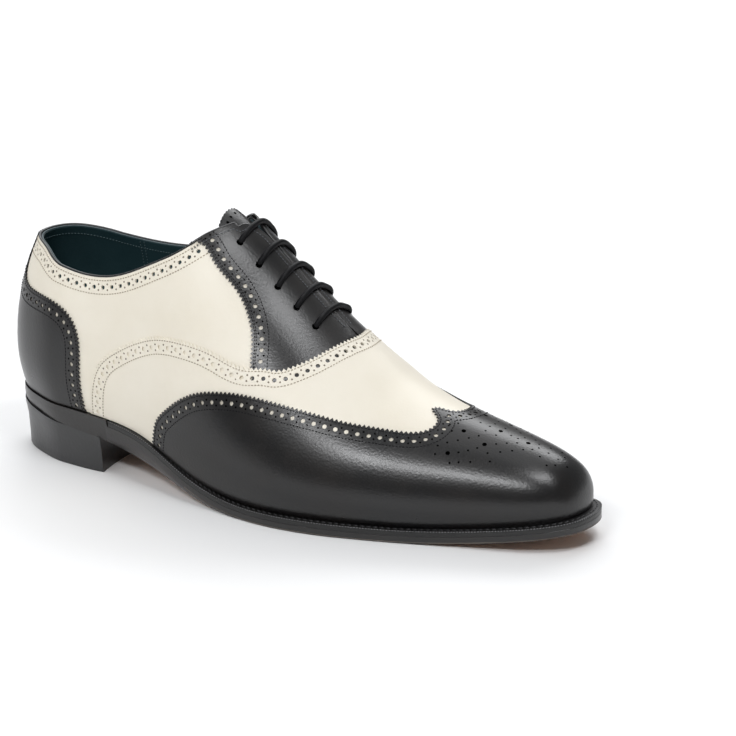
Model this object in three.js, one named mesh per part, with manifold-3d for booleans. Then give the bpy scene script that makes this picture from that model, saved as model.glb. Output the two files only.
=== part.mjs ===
// A two-tone wingtip brogue for the right foot, standing empty on its sole.
// Millimetres. +X runs from heel to toe, -Y is the outer side, +Z is up.
// The origin is on the floor, under the middle of the heel.

import * as THREE from "three";
import { mergeVertices } from "three/addons/utils/BufferGeometryUtils.js";
import ManifoldModule from "manifold-3d";

// Driving dimensions of the last
const TOE_REACH = 254.8;
const HEEL_AXIS_X = 8;
const BALL_WIDTH = 92;
const HEEL_WIDTH = 59;
const HEEL_HEIGHT = 28.6;
const TOE_SPRING = 8.6;
const INSTEP_RISE = 112;
const COLLAR_RISE = 72.4;

// Thicknesses and clearances
const UPPER_WALL = 2.2;
const OVERLAY_THICKNESS = 1;
const TONGUE_THICKNESS = 1.8;
const TONGUE_CLEARANCE = 0.6;
const INSOLE_THICKNESS = 2.5;
const WELT_THICKNESS = 2.3;
const SOLE_THICKNESS = 3.3;
const GAP = 0.3;

// Sole, welt and heel
const EDGE_MARGIN = 5;
const WELT_LAP = 4.5;
const SOLE_EDGE = 3;
const BREAST_X = 33;
const BREAST_HEIGHT = 17.4;
const BREAST_HOLLOW = 3.5;
const HEEL_BACK_HEIGHT = 23.4;
const HEEL_TAPER = 1.6;

// Throat and lacing
const THROAT_END = 0.528;
const THROAT_TOP = 0.353;
const FACING_PEAK = 0.325;
const SLIT_WIDTH = 2.4;
const LACE_WIDTH = 3;
const LACE_BARS = 5;
const LACE_SPAN = 29;
const FIRST_BAR = 0.347;
const LAST_BAR = 0.499;
// Points of a bar on one side, as shares of half its span
const LACE_REACH = [1, 0.6, 0.2];

// How far the parts of the surface are divided
const BODY_STEPS = 32;
const STEP_CURVE = 0.8;
const HEEL_STEPS = 8;
const LOW_ROWS = 2;
const HIGH_ROWS = 8;
const BREAST_STEPS = 8;
const LACE_SIDES = 8;
const LACE_STEPS = 10;
const HALVINGS = 30;
const SLOPE_STEP = 1e-4;

// `at` is a place along the shoe: 1 at the tip, 0 at the heel's axis, -1 at the back of the heel.
// Ahead of the axis it is a share of TOE_REACH, behind it a share of a half turn.
const HEEL_PACE = 0.1325;
const BACK_SEAM = 1 + HEEL_PACE;

// Each rib's lower half: where its pull points lie, and how the swell dies out at the tip
const LOW_START = 0.3;
const LOW_PULL = 0.55;
const SWELL_FADE = 0.16;
const BULGE_LIMIT = 0.42;

// Ahead of SPRING_START the sole curves up to the toe, and behind ARCH_START to the heel's breast
const SPRING_START = 0.7;
const SPRING_CURVE = 1.8;
const ARCH_START = 0.42;
const ARCH_CURVE = 1.65;

// Lower edge of the upper: its lift is a share of the heel's rise, its half widths are shares of
// BALL_WIDTH ahead of the waist and of HEEL_WIDTH behind it
const WAIST_AT = 0.25;
const LOWER_EDGE = table(
  ["at", "lift", "outer", "inner"],
  [
    [1, 0, 0, 0],
    [0.993, 0, 0.105, 0.098],
    [0.973, 0, 0.17, 0.158],
    [0.934, 0, 0.228, 0.209],
    [0.879, 0, 0.277, 0.261],
    [0.801, 0, 0.342, 0.326],
    [0.714, 0, 0.418, 0.402],
    [0.616, 0, 0.495, 0.467],
    [0.51, 0, 0.533, 0.451],
    [0.4, 0.054, 0.505, 0.37],
    [0.302, 0.34, 0.457, 0.31],
    [0.204, 0.772, 0.619, 0.458],
    [0.106, 0.929, 0.542, 0.492],
    [0, 1, 0.505, 0.5],
    [-0.333, 1.036, 0.484, 0.5],
    [-0.667, 1.054, 0.535, 0.54],
    [-1, 1.058, 0.576, 0.576],
  ],
);

// Side swell and ridge: bulges and the ridge's sideways place are shares of BALL_WIDTH, heights above
// the lower edge are shares of INSTEP_RISE
const SWELL = table(
  ["at", "outerBulge", "innerBulge", "bulgeHeight", "ridgeSide", "ridge"],
  [
    [1, 0, 0, 0.071, -0.005, 0],
    [0.993, 0.011, 0.011, 0.071, -0.005, 0.096],
    [0.973, 0.016, 0.013, 0.071, -0.008, 0.171],
    [0.934, 0.022, 0.016, 0.071, -0.011, 0.234],
    [0.879, 0.027, 0.022, 0.08, -0.013, 0.286],
    [0.801, 0.033, 0.027, 0.089, -0.013, 0.345],
    [0.714, 0.038, 0.027, 0.098, -0.005, 0.409],
    [0.616, 0.038, 0.027, 0.107, 0.016, 0.51],
    [0.51, 0.033, 0.027, 0.116, 0.033, 0.68],
    [0.4, 0.027, 0.038, 0.134, 0.038, 0.884],
    [0.302, 0.022, 0.043, 0.152, 0.033, 1.005],
    [0.204, 0.016, 0.043, 0.161, 0.016, 0.987],
    [0.106, 0.022, 0.038, 0.179, 0.005, 0.946],
    [0, 0.033, 0.033, 0.188, 0, 0.905],
    [-0.333, 0.038, 0.038, 0.196, 0, 0.88],
    [-0.667, 0.038, 0.038, 0.196, 0, 0.877],
    [-1, 0.038, 0.038, 0.196, 0, 0.876],
  ],
);

// Fullness: how far each side's curve keeps upright, and how far its top keeps level
const FULLNESS = table(
  ["at", "outerSide", "outerTop", "innerSide", "innerTop"],
  [
    [1, 0.55, 0.55, 0.55, 0.55],
    [0.934, 0.55, 0.55, 0.55, 0.53],
    [0.801, 0.55, 0.52, 0.55, 0.5],
    [0.714, 0.55, 0.48, 0.52, 0.46],
    [0.616, 0.5, 0.42, 0.48, 0.44],
    [0.51, 0.45, 0.38, 0.44, 0.48],
    [0.4, 0.45, 0.44, 0.44, 0.52],
    [0.302, 0.52, 0.58, 0.5, 0.54],
    [0.204, 0.55, 0.5, 0.55, 0.48],
    [0.106, 0.55, 0.42, 0.55, 0.46],
    [0, 0.52, 0.42, 0.52, 0.46],
    [-0.333, 0.46, 0.38, 0.46, 0.42],
    [-0.667, 0.46, 0.4, 0.46, 0.43],
    [-1, 0.46, 0.44, 0.46, 0.44],
  ],
);

// Collar line above the heel seat, in shares of COLLAR_RISE
const COLLAR = table(
  ["at", "outer", "inner"],
  [
    [0.353, 1.28, 1.28],
    [0.33, 1.272, 1.269],
    [0.314, 1.254, 1.242],
    [0.294, 1.217, 1.193],
    [0.275, 1.165, 1.131],
    [0.204, 1.021, 0.972],
    [0.126, 0.903, 0.917],
    [0.055, 0.878, 0.917],
    [0, 0.905, 0.936],
    [-0.333, 0.965, 0.977],
    [-0.667, 0.994, 1],
    [-1, 1, 1],
  ],
);

// Sole's edge: margins beyond the lower edge of the upper, and how far the bottom's rim lies inside
// the edge, in shares of EDGE_MARGIN
const SOLE_ROWS = table(
  ["at", "outerMargin", "innerMargin", "outerCut", "innerCut"],
  [
    [1, 1.1, 1.1, 0.2, 0.2],
    [0.973, 1, 1, 0.18, 0.18],
    [0.879, 0.92, 0.92, 0.14, 0.14],
    [0.79, 0.88, 0.88, 0.12, 0.12],
    [0.616, 0.9, 0.84, 0.12, 0.12],
    [0.51, 0.88, 0.76, 0.12, 0.2],
    [0.42, 0.8, 0.7, 0.2, 0.6],
    [0.302, 0.6, 0.55, 0.7, 1.2],
    [0.228, 0.5, 0.45, 1, 1.4],
    [0.161, 0.42, 0.4, 0.8, 1],
    [0.118, 0.38, 0.38, 0.3, 0.3],
    [0.098, 0.36, 0.36, 0.08, 0.08],
    [0, 0.32, 0.32, 0.08, 0.08],
    [-1, 0.3, 0.3, 0.08, 0.08],
  ],
);

// The welt ends where the seat of the heel begins
const SEAT_END = 0.118;
const SEAT_STEP = 0.004;

// Edges of the overlays on the surface: `at` along the shoe and `up` from 0 at the lower edge, through 1
// at the widest place, to 2 at the ridge
const WING_SIDE = table(
  ["at", "up"],
  [
    [0.226, 0],
    [0.231, 0.375],
    [0.241, 0.842],
    [0.266, 1.03],
    [0.302, 1.117],
    [0.378, 1.251],
    [0.466, 1.351],
    [0.567, 1.431],
    [0.664, 1.52],
    [0.712, 1.59],
  ],
);
const COUNTER_SIDE = table(
  ["at", "up"],
  [
    [0.064, 0],
    [0.062, 0.35],
    [0.06, 0.73],
    [0.058, 1.06],
    [0.05, 1.15],
    [0.034, 1.2],
    [0, 1.235],
    [-0.25, 1.262],
    [-0.6, 1.29],
  ],
);
const FACING_REAR = table(
  ["at", "up"],
  [
    [0.262, 1.9],
    [0.283, 1.655],
    [0.32, 1.636],
    [0.366, 1.617],
    [0.4, 1.567],
    [0.42, 1.49],
    [0.428, 1.42],
    [0.452, 1.44],
    [0.478, 1.5],
    [0.505, 1.6],
    [0.528, 1.73],
    [0.545, 1.9],
  ],
);

// Wing's centre peak, seen from above: how far ahead of the heel's axis, and how far beside the
// peak, in shares of TOE_REACH and BALL_WIDTH
const PEAK_SIDE = -0.05;
const WING_PEAK = table(
  ["at", "side"],
  [
    [0.735, -0.19],
    [0.748, -0.14],
    [0.745, -0.09],
    [0.728, -0.05],
    [0.712, 0],
    [0.728, 0.05],
    [0.745, 0.09],
    [0.748, 0.14],
    [0.735, 0.19],
  ],
);
const BACKSTAY_WIDTH = 11;

// The tongue runs from under the vamp to above the facings
const TONGUE_FRONT = 0.565;
const TONGUE_TOP = 0.3;
const TONGUE_ROWS = 4;

// Far enough to clear the whole shoe
const BEYOND = 400;

// Sides of the shoe: the outer side lies towards -Y
const OUTER = { sign: -1, half: "outer", margin: "outerMargin", cut: "outerCut" };
const INNER = { sign: 1, half: "inner", margin: "innerMargin", cut: "innerCut" };

const wasm = await ManifoldModule();
wasm.setup();

function table(columns, rows) {
  return rows.map((row) => Object.fromEntries(columns.map((name, i) => [name, row[i]])));
}

// A place along the shoe as one even parameter, 0 at the tip
function placeOf(at) {
  return at >= 0 ? Math.sqrt(1 - at) : 1 - HEEL_PACE * at;
}

function atOf(place) {
  return place <= 1 ? 1 - place * place : (1 - place) / HEEL_PACE;
}

// Smooth curve through a table's column: a cubic spline, level at the back of the heel
function column(rows, read) {
  const knots = rows.map((row) => placeOf(row.at));
  const values = rows.map(read);
  const last = knots.length - 1;
  const lower = new Array(last + 1).fill(0);
  const middle = new Array(last + 1).fill(1);
  const upper = new Array(last + 1).fill(0);
  const right = new Array(last + 1).fill(0);
  const rise = (i) => (values[i + 1] - values[i]) / (knots[i + 1] - knots[i]);
  for (let i = 1; i < last; i += 1) {
    lower[i] = knots[i] - knots[i - 1];
    middle[i] = 2 * (knots[i + 1] - knots[i - 1]);
    upper[i] = knots[i + 1] - knots[i];
    right[i] = 6 * (rise(i) - rise(i - 1));
  }
  if (rows[last].at === -1) {
    lower[last] = knots[last] - knots[last - 1];
    middle[last] = 2 * lower[last];
    right[last] = -6 * rise(last - 1);
  }
  for (let i = 1; i <= last; i += 1) {
    const share = lower[i] / middle[i - 1];
    middle[i] -= share * upper[i - 1];
    right[i] -= share * right[i - 1];
  }
  const bend = new Array(last + 1).fill(0);
  for (let i = last; i >= 0; i -= 1) {
    bend[i] = (right[i] - upper[i] * (i < last ? bend[i + 1] : 0)) / middle[i];
  }
  return (place) => {
    let i = 0;
    while (i < last - 1 && place > knots[i + 1]) {
      i += 1;
    }
    const span = knots[i + 1] - knots[i];
    const a = Math.min((knots[i + 1] - place) / span, 1);
    const b = 1 - a;
    const curve = (a ** 3 - a) * bend[i] + (b ** 3 - b) * bend[i + 1];
    return a * values[i] + b * values[i + 1] + (curve * span * span) / 6;
  };
}

const heelRise = HEEL_HEIGHT - edgeStack();
const waistLift = column(LOWER_EDGE, (row) => row.lift * heelRise);
const widthOf = (row) => (row.at > WAIST_AT ? BALL_WIDTH : HEEL_WIDTH);
const edge = {
  height: (place) => edgeStack() + Math.max(waistLift(place), 0) + toeLift(atOf(place)),
  outer: column(LOWER_EDGE, (row) => row.outer * widthOf(row)),
  inner: column(LOWER_EDGE, (row) => row.inner * widthOf(row)),
};
const swell = {
  outer: column(SWELL, (row) => row.outerBulge * BALL_WIDTH),
  inner: column(SWELL, (row) => row.innerBulge * BALL_WIDTH),
  height: column(SWELL, (row) => row.bulgeHeight * INSTEP_RISE),
  side: column(SWELL, (row) => row.ridgeSide * BALL_WIDTH),
  ridge: column(SWELL, (row) => row.ridge * INSTEP_RISE),
};
const full = {
  outer: [column(FULLNESS, (row) => row.outerSide), column(FULLNESS, (row) => row.outerTop)],
  inner: [column(FULLNESS, (row) => row.innerSide), column(FULLNESS, (row) => row.innerTop)],
};
const collar = {
  outer: column(COLLAR, (row) => HEEL_HEIGHT + row.outer * COLLAR_RISE),
  inner: column(COLLAR, (row) => HEEL_HEIGHT + row.inner * COLLAR_RISE),
};
const sole = {
  outerMargin: column(SOLE_ROWS, (row) => row.outerMargin * EDGE_MARGIN),
  innerMargin: column(SOLE_ROWS, (row) => row.innerMargin * EDGE_MARGIN),
  outerCut: column(SOLE_ROWS, (row) => row.outerCut * EDGE_MARGIN),
  innerCut: column(SOLE_ROWS, (row) => row.innerCut * EDGE_MARGIN),
};

function edgeStack() {
  return SOLE_THICKNESS + WELT_THICKNESS + 2 * GAP;
}

function toeLift(at) {
  return TOE_SPRING * (Math.max(at - SPRING_START, 0) / (1 - SPRING_START)) ** SPRING_CURVE;
}

// Underside of the sole: flat under the ball, curved up at the toe and the waist, and a plane over the
// heel
function undersideHeight(place) {
  const at = atOf(place);
  const breastAt = (BREAST_X - HEEL_AXIS_X) / TOE_REACH;
  if (at > breastAt) {
    const share = Math.max(ARCH_START - at, 0) / (ARCH_START - breastAt);
    return toeLift(at) + BREAST_HEIGHT * share ** ARCH_CURVE;
  }
  return seatPlane(footPoint(place, OUTER, 0).x);
}

function seatPlane(x) {
  const back = footPoint(BACK_SEAM, OUTER, 0).x;
  return THREE.MathUtils.mapLinear(x, BREAST_X, back, BREAST_HEIGHT, HEEL_BACK_HEIGHT);
}

function bezier(a, b, c, d, t) {
  const s = 1 - t;
  return s * s * s * a + 3 * s * s * t * b + 3 * s * t * t * c + t * t * t * d;
}

// Where a rib stands: its foot on the centre line and its direction outwards
function ribFrame(place, side) {
  const at = atOf(place);
  const turn = at >= 0 ? Math.PI / 2 : (Math.PI / 2) * (1 - at);
  const x = HEEL_AXIS_X + Math.max(at, 0) * TOE_REACH;
  return { x, dx: Math.cos(turn), dy: side.sign * Math.sin(turn) };
}

// The last's surface: a rib runs from the lower edge (up 0) past the widest place (1) to the ridge (2)
function skin(place, side, up) {
  const low = edge.height(place);
  const ridge = swell.ridge(place);
  const foot = edge[side.half](place);
  const swellShare = THREE.MathUtils.clamp(ridge / (SWELL_FADE * INSTEP_RISE), 0, 1);
  const wide = foot + swell[side.half](place) * swellShare;
  const bulge = Math.min(swell.height(place), BULGE_LIMIT * ridge);
  const top = side.sign * swell.side(place);
  let r;
  let z;
  if (up <= 1) {
    r = bezier(foot, foot + LOW_PULL * (wide - foot), wide, wide, up);
    z = bezier(0, LOW_START * bulge, LOW_PULL * bulge, bulge, up);
  } else {
    const [keepUp, keepLevel] = full[side.half].map((read) => read(place));
    r = bezier(wide, wide, top + keepLevel * (wide - top), top, up - 1);
    z = bezier(bulge, bulge + keepUp * (ridge - bulge), ridge, ridge, up - 1);
  }
  const frame = ribFrame(place, side);
  return new THREE.Vector3(frame.x + r * frame.dx, r * frame.dy, low + z);
}

// Outward direction, worked out exactly where the two sides meet: at the tip, ridge and back seam
function skinNormal(place, side, up) {
  if (place === 0) {
    return new THREE.Vector3(1, 0, 0);
  }
  const frame = ribFrame(place, side);
  const lengthways = new THREE.Vector3(0, -side.sign, 0);
  if (place < BACK_SEAM) {
    lengthways.subVectors(skin(place + SLOPE_STEP, side, up), skin(place - SLOPE_STEP, side, up));
  }
  const upwards = new THREE.Vector3(-frame.dx, -frame.dy, 0);
  if (up < 2) {
    upwards.subVectors(skin(place, side, up + SLOPE_STEP), skin(place, side, Math.max(up - SLOPE_STEP, 0)));
  }
  return lengthways.cross(upwards).multiplyScalar(side.sign).normalize();
}

// The lower edge stays level with the last's own, so that the upper sits flat on the welt
function offsetSkin(place, side, up, distance) {
  const point = skin(place, side, up);
  const low = point.z;
  point.addScaledVector(skinNormal(place, side, up), distance);
  if (up === 0) {
    point.z = low;
  }
  return point;
}

// Height on a rib at which it meets the collar or the slit of the throat
function trim(place, side) {
  const at = atOf(place);
  const gap = slitGap(at);
  const isOver = (up) => {
    const point = skin(place, side, up);
    const overCollar = at < THROAT_TOP && point.z > collar[side.half](place);
    const overSlit = gap > 0 && side.sign * (point.y - swell.side(place)) < gap;
    return overCollar || overSlit;
  };
  if (!isOver(2)) {
    return 2;
  }
  let low = 1;
  let high = 2;
  for (let i = 0; i < 40; i += 1) {
    const middle = (low + high) / 2;
    if (isOver(middle)) {
      high = middle;
    } else {
      low = middle;
    }
  }
  return low;
}

function slitGap(at) {
  if (at >= THROAT_END || at <= 0) {
    return 0;
  }
  return (SLIT_WIDTH / 2) * Math.min(1, Math.sqrt((THROAT_END - at) / (THROAT_END - THROAT_TOP)));
}

// Steps along the shoe, with some of them moved onto the ends of the throat and the facings' peak
function stations() {
  const places = [];
  for (let i = 0; i <= BODY_STEPS; i += 1) {
    places.push((i / BODY_STEPS) ** STEP_CURVE);
  }
  for (let i = 1; i <= HEEL_STEPS; i += 1) {
    places.push(1 + (HEEL_PACE * i) / HEEL_STEPS);
  }
  for (const at of [THROAT_END, THROAT_TOP, FACING_PEAK, TONGUE_TOP]) {
    const wanted = placeOf(at);
    const distances = places.map((place) => Math.abs(place - wanted));
    places[distances.indexOf(Math.min(...distances))] = wanted;
  }
  return places;
}

function heights(top) {
  const rows = [];
  for (let j = 0; j < LOW_ROWS; j += 1) {
    rows.push(j / LOW_ROWS);
  }
  for (let j = 0; j <= HIGH_ROWS; j += 1) {
    rows.push(1 + ((top - 1) * j) / HIGH_ROWS);
  }
  return rows;
}

// Collects triangles as points and closes them into one mesh
class Facets {
  constructor() {
    this.points = [];
  }

  triangle(a, b, c) {
    this.points.push(a, b, c);
  }

  quad(a, b, c, d) {
    this.triangle(a, b, c);
    this.triangle(a, c, d);
  }

  geometry() {
    const positions = this.points.flatMap((point) => [point.x, point.y, point.z]);
    const loose = new THREE.BufferGeometry();
    loose.setAttribute("position", new THREE.Float32BufferAttribute(positions, 3));
    const merged = mergeVertices(loose, 1e-3);
    const index = merged.index.array;
    const kept = [];
    for (let i = 0; i < index.length; i += 3) {
      const [a, b, c] = index.subarray(i, i + 3);
      if (a !== b && b !== c && c !== a) {
        kept.push(a, b, c);
      }
    }
    merged.setIndex(kept);
    return merged;
  }
}

// A closed skin around the whole upper, between two distances from the last
function shell(inner, outer) {
  const places = stations();
  const facets = new Facets();
  for (const side of [OUTER, INNER]) {
    const grid = (distance) =>
      places.map((place) =>
        heights(trim(place, side)).map((up) => offsetSkin(place, side, up, distance)),
      );
    const outside = grid(outer);
    const inside = grid(inner);
    const top = outside[0].length - 1;
    const add = (a, b, c, d) => (side.sign < 0 ? facets.quad(a, b, c, d) : facets.quad(a, d, c, b));
    for (let i = 0; i < places.length - 1; i += 1) {
      for (let j = 0; j < top; j += 1) {
        add(outside[i][j], outside[i][j + 1], outside[i + 1][j + 1], outside[i + 1][j]);
        add(inside[i][j], inside[i + 1][j], inside[i + 1][j + 1], inside[i][j + 1]);
      }
      add(outside[i][0], outside[i + 1][0], inside[i + 1][0], inside[i][0]);
      if (trim(places[i], side) < 2 || trim(places[i + 1], side) < 2) {
        add(outside[i][top], inside[i][top], inside[i + 1][top], outside[i + 1][top]);
      }
    }
  }
  return facets.geometry();
}

function solidOf(geometry) {
  const mesh = new wasm.Mesh({
    numProp: 3,
    vertProperties: new Float32Array(geometry.getAttribute("position").array),
    triVerts: new Uint32Array(geometry.index.array),
  });
  mesh.merge();
  return new wasm.Manifold(mesh);
}

function plainSolid(geometry) {
  const bare = geometry.index ? geometry.toNonIndexed() : geometry.clone();
  bare.deleteAttribute("normal");
  bare.deleteAttribute("uv");
  return solidOf(mergeVertices(bare, 1e-4));
}

function geometryOf(solid) {
  const mesh = solid.getMesh();
  const geometry = new THREE.BufferGeometry();
  geometry.setAttribute("position", new THREE.BufferAttribute(new Float32Array(mesh.vertProperties), 3));
  geometry.setIndex(new THREE.BufferAttribute(new Uint32Array(mesh.triVerts), 1));
  return geometry;
}

// A prism with a side-view outline, on one side of the shoe or on both
function sidePrism(outline, from, to) {
  const shape = new THREE.Shape(outline);
  const geometry = new THREE.ExtrudeGeometry(shape, { depth: to - from, bevelEnabled: false });
  geometry.rotateX(Math.PI / 2);
  geometry.translate(0, to, 0);
  return plainSolid(geometry);
}

// A prism with an outline seen from above
function planPrism(outline) {
  const shape = new THREE.Shape(outline);
  const geometry = new THREE.ExtrudeGeometry(shape, { depth: BEYOND, bevelEnabled: false });
  return plainSolid(geometry);
}

function smooth(points, steps) {
  return new THREE.SplineCurve(points).getPoints(steps);
}

// An overlay's edge in side view
function sideLine(rows, side, steps) {
  const points = rows.map((row) => {
    const point = skin(placeOf(row.at), side, row.up);
    return new THREE.Vector2(point.x, point.z);
  });
  return smooth(points, steps);
}

function materialOf(color, roughness, metalness = 0) {
  return new THREE.MeshStandardMaterial({ color, roughness, metalness });
}

const materials = {
  creamCalf: materialOf(0xe6dfcf, 0.5),
  blackCalf: materialOf(0x17181a, 0.32),
  welt: materialOf(0x141414, 0.5),
  soleEdge: materialOf(0x1a1816, 0.4),
  heel: materialOf(0x1c1c1d, 0.38),
  insole: materialOf(0x2a211a, 0.7),
  lace: materialOf(0x0e0e0f, 0.6),
};

const shoe = new THREE.Group();

function addPiece(name, geometry, material) {
  const mesh = new THREE.Mesh(geometry, material);
  mesh.name = name;
  shoe.add(mesh);
}

// Upper
function upper() {
  return shell(-UPPER_WALL, 0);
}

const overlayBlank = () => solidOf(shell(GAP, GAP + OVERLAY_THICKNESS));

// One side's share of a cut, seen from the side
function halfPrism(outline, side, inset = 0) {
  return side.sign < 0 ? sidePrism(outline, -BEYOND, -inset) : sidePrism(outline, inset, BEYOND);
}

// Wing cap: a band along both sides that meets in a peak over the toe
function wingCap() {
  const tip = HEEL_AXIS_X + TOE_REACH + EDGE_MARGIN;
  const halves = [OUTER, INNER].map((side) => {
    const line = sideLine(WING_SIDE, side, 26);
    const front = line[line.length - 1];
    return halfPrism(
      [
        ...line,
        new THREE.Vector2(front.x, front.y + INSTEP_RISE),
        new THREE.Vector2(tip, front.y + INSTEP_RISE),
        new THREE.Vector2(tip, -BEYOND),
        new THREE.Vector2(line[0].x, -BEYOND),
      ],
      side,
    );
  });
  const last = WING_SIDE[WING_SIDE.length - 1];
  const [outerEnd, innerEnd] = [OUTER, INNER].map((side) => skin(placeOf(last.at), side, last.up));
  const peak = WING_PEAK.map(
    (row) => new THREE.Vector2(HEEL_AXIS_X + row.at * TOE_REACH, (PEAK_SIDE + row.side) * BALL_WIDTH),
  );
  const line = smooth(
    [new THREE.Vector2(outerEnd.x, outerEnd.y), ...peak, new THREE.Vector2(innerEnd.x, innerEnd.y)],
    36,
  );
  const behind = outerEnd.x - OVERLAY_THICKNESS;
  const notch = planPrism([
    ...line,
    new THREE.Vector2(behind, innerEnd.y),
    new THREE.Vector2(behind, outerEnd.y),
  ]);
  return overlayBlank().intersect(halves[0].add(halves[1])).subtract(notch);
}

// Heel counter with the narrow backstay over the back seam
function heelCounter() {
  const halves = [OUTER, INNER].map((side) => {
    const line = sideLine(COUNTER_SIDE, side, 24);
    const top = line[line.length - 1];
    return halfPrism(
      [
        ...line,
        new THREE.Vector2(-BEYOND, top.y),
        new THREE.Vector2(-BEYOND, -BEYOND),
        new THREE.Vector2(line[0].x, -BEYOND),
      ],
      side,
    );
  });
  const backstay = planPrism([
    new THREE.Vector2(-BEYOND, -BACKSTAY_WIDTH / 2),
    new THREE.Vector2(0, -BACKSTAY_WIDTH / 2),
    new THREE.Vector2(0, BACKSTAY_WIDTH / 2),
    new THREE.Vector2(-BEYOND, BACKSTAY_WIDTH / 2),
  ]);
  return overlayBlank().intersect(halves[0].add(halves[1]).add(backstay));
}

// Facing: the eyelet panel on one side of the slit
function facing(side) {
  const line = sideLine(FACING_REAR, side, 30);
  const front = line[line.length - 1];
  const outline = [
    ...line,
    new THREE.Vector2(front.x, BEYOND),
    new THREE.Vector2(line[0].x, BEYOND),
  ];
  const slitSide = swell.side(placeOf(THROAT_END));
  const half = side.sign * slitSide + SLIT_WIDTH / 2;
  return overlayBlank().intersect(halfPrism(outline, side, half));
}

// Tongue: a closed strip across the ridge, under the facings. Its rows run beside the upper's own.
function tongue() {
  const places = stations().filter((place) => {
    const at = atOf(place);
    return at < TONGUE_FRONT && at > TONGUE_TOP - SLOPE_STEP;
  });
  const facets = new Facets();
  const layer = (distance) =>
    places.map((place) => {
      const across = (side) => {
        const top = place < placeOf(THROAT_TOP) ? trim(place, side) : slitTrim(side);
        return heights(top).slice(-TONGUE_ROWS).map((up) => offsetSkin(place, side, up, distance));
      };
      return [...across(OUTER), offsetSkin(place, INNER, 2, distance), ...across(INNER).reverse()];
    });
  const top = layer(-UPPER_WALL - TONGUE_CLEARANCE);
  const under = layer(-UPPER_WALL - TONGUE_CLEARANCE - TONGUE_THICKNESS);
  const end = places.length - 1;
  const across = top[0].length - 1;
  for (let i = 0; i < end; i += 1) {
    for (let j = 0; j < across; j += 1) {
      facets.quad(top[i][j], top[i][j + 1], top[i + 1][j + 1], top[i + 1][j]);
      facets.quad(under[i][j], under[i + 1][j], under[i + 1][j + 1], under[i][j + 1]);
    }
    facets.quad(top[i][0], top[i + 1][0], under[i + 1][0], under[i][0]);
    facets.quad(top[i][across], under[i][across], under[i + 1][across], top[i + 1][across]);
  }
  for (let j = 0; j < across; j += 1) {
    facets.quad(top[0][j], under[0][j], under[0][j + 1], top[0][j + 1]);
    facets.quad(top[end][j], top[end][j + 1], under[end][j + 1], under[end][j]);
  }
  return facets.geometry();
}

// Height of the slit's edge where the throat ends at the collar
function slitTrim(side) {
  return trim(placeOf(THROAT_TOP), side);
}

// A point of the plan outline, a margin outside the upper's lower edge
function footPoint(place, side, margin) {
  const point = skin(place, side, 0);
  const outward = new THREE.Vector3(1, 0, 0);
  if (place >= BACK_SEAM) {
    outward.set(-1, 0, 0);
  } else if (place > 0) {
    outward.subVectors(skin(place + SLOPE_STEP, side, 0), skin(place - SLOPE_STEP, side, 0));
    outward.set(-outward.y * side.sign, outward.x * side.sign, 0).negate().normalize();
  }
  return point.addScaledVector(outward, margin);
}

function soleStations() {
  const breastAt = (BREAST_X - HEEL_AXIS_X) / TOE_REACH;
  const extra = [SEAT_END, SEAT_END - SEAT_STEP, breastAt].map(placeOf);
  const kept = stations().filter((place) => extra.every((other) => Math.abs(place - other) > 0.01));
  return [...kept, ...extra].sort((a, b) => a - b);
}

const edgeMargin = (place, side) => sole[side.margin](place);
const rimMargin = (place, side) => sole[side.margin](place) - sole[side.cut](place);

// A closed plate through rings, the first on top; each gives a point for a place and side
function plate(rings) {
  const places = soleStations();
  const facets = new Facets();
  const points = rings.map((ring) =>
    [OUTER, INNER].map((side) => places.map((place) => ring(place, side))),
  );
  const [topOuter, topInner] = points[0];
  const [lowOuter, lowInner] = points[points.length - 1];
  for (let i = 0; i < places.length - 1; i += 1) {
    facets.quad(topOuter[i], topInner[i], topInner[i + 1], topOuter[i + 1]);
    facets.quad(lowOuter[i], lowOuter[i + 1], lowInner[i + 1], lowInner[i]);
    for (let k = 0; k < points.length - 1; k += 1) {
      const [above, below] = [points[k], points[k + 1]];
      facets.quad(above[0][i], above[0][i + 1], below[0][i + 1], below[0][i]);
      facets.quad(above[1][i], below[1][i], below[1][i + 1], above[1][i + 1]);
    }
  }
  return facets.geometry();
}

function ringAt(margin, height) {
  return (place, side) => {
    const point = footPoint(place, side, margin(place, side));
    point.z = height(place);
    return point;
  };
}

function insole() {
  const inside = () => -UPPER_WALL - 2 * GAP;
  return plate([
    ringAt(inside, (place) => edge.height(place) + INSOLE_THICKNESS),
    ringAt(inside, (place) => edge.height(place) + GAP),
  ]);
}

// Top of the outsole: below the welt, and a step higher under the heel seat
function soleTop(place) {
  const seat = THREE.MathUtils.clamp((SEAT_END - atOf(place)) / SEAT_STEP, 0, 1);
  return edge.height(place) - GAP - (1 - seat) * (WELT_THICKNESS + GAP);
}

function outsole() {
  return plate([
    ringAt(edgeMargin, soleTop),
    ringAt(edgeMargin, (place) => Math.max(soleTop(place) - SOLE_EDGE, undersideHeight(place) + GAP)),
    ringAt(rimMargin, undersideHeight),
  ]);
}

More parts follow.
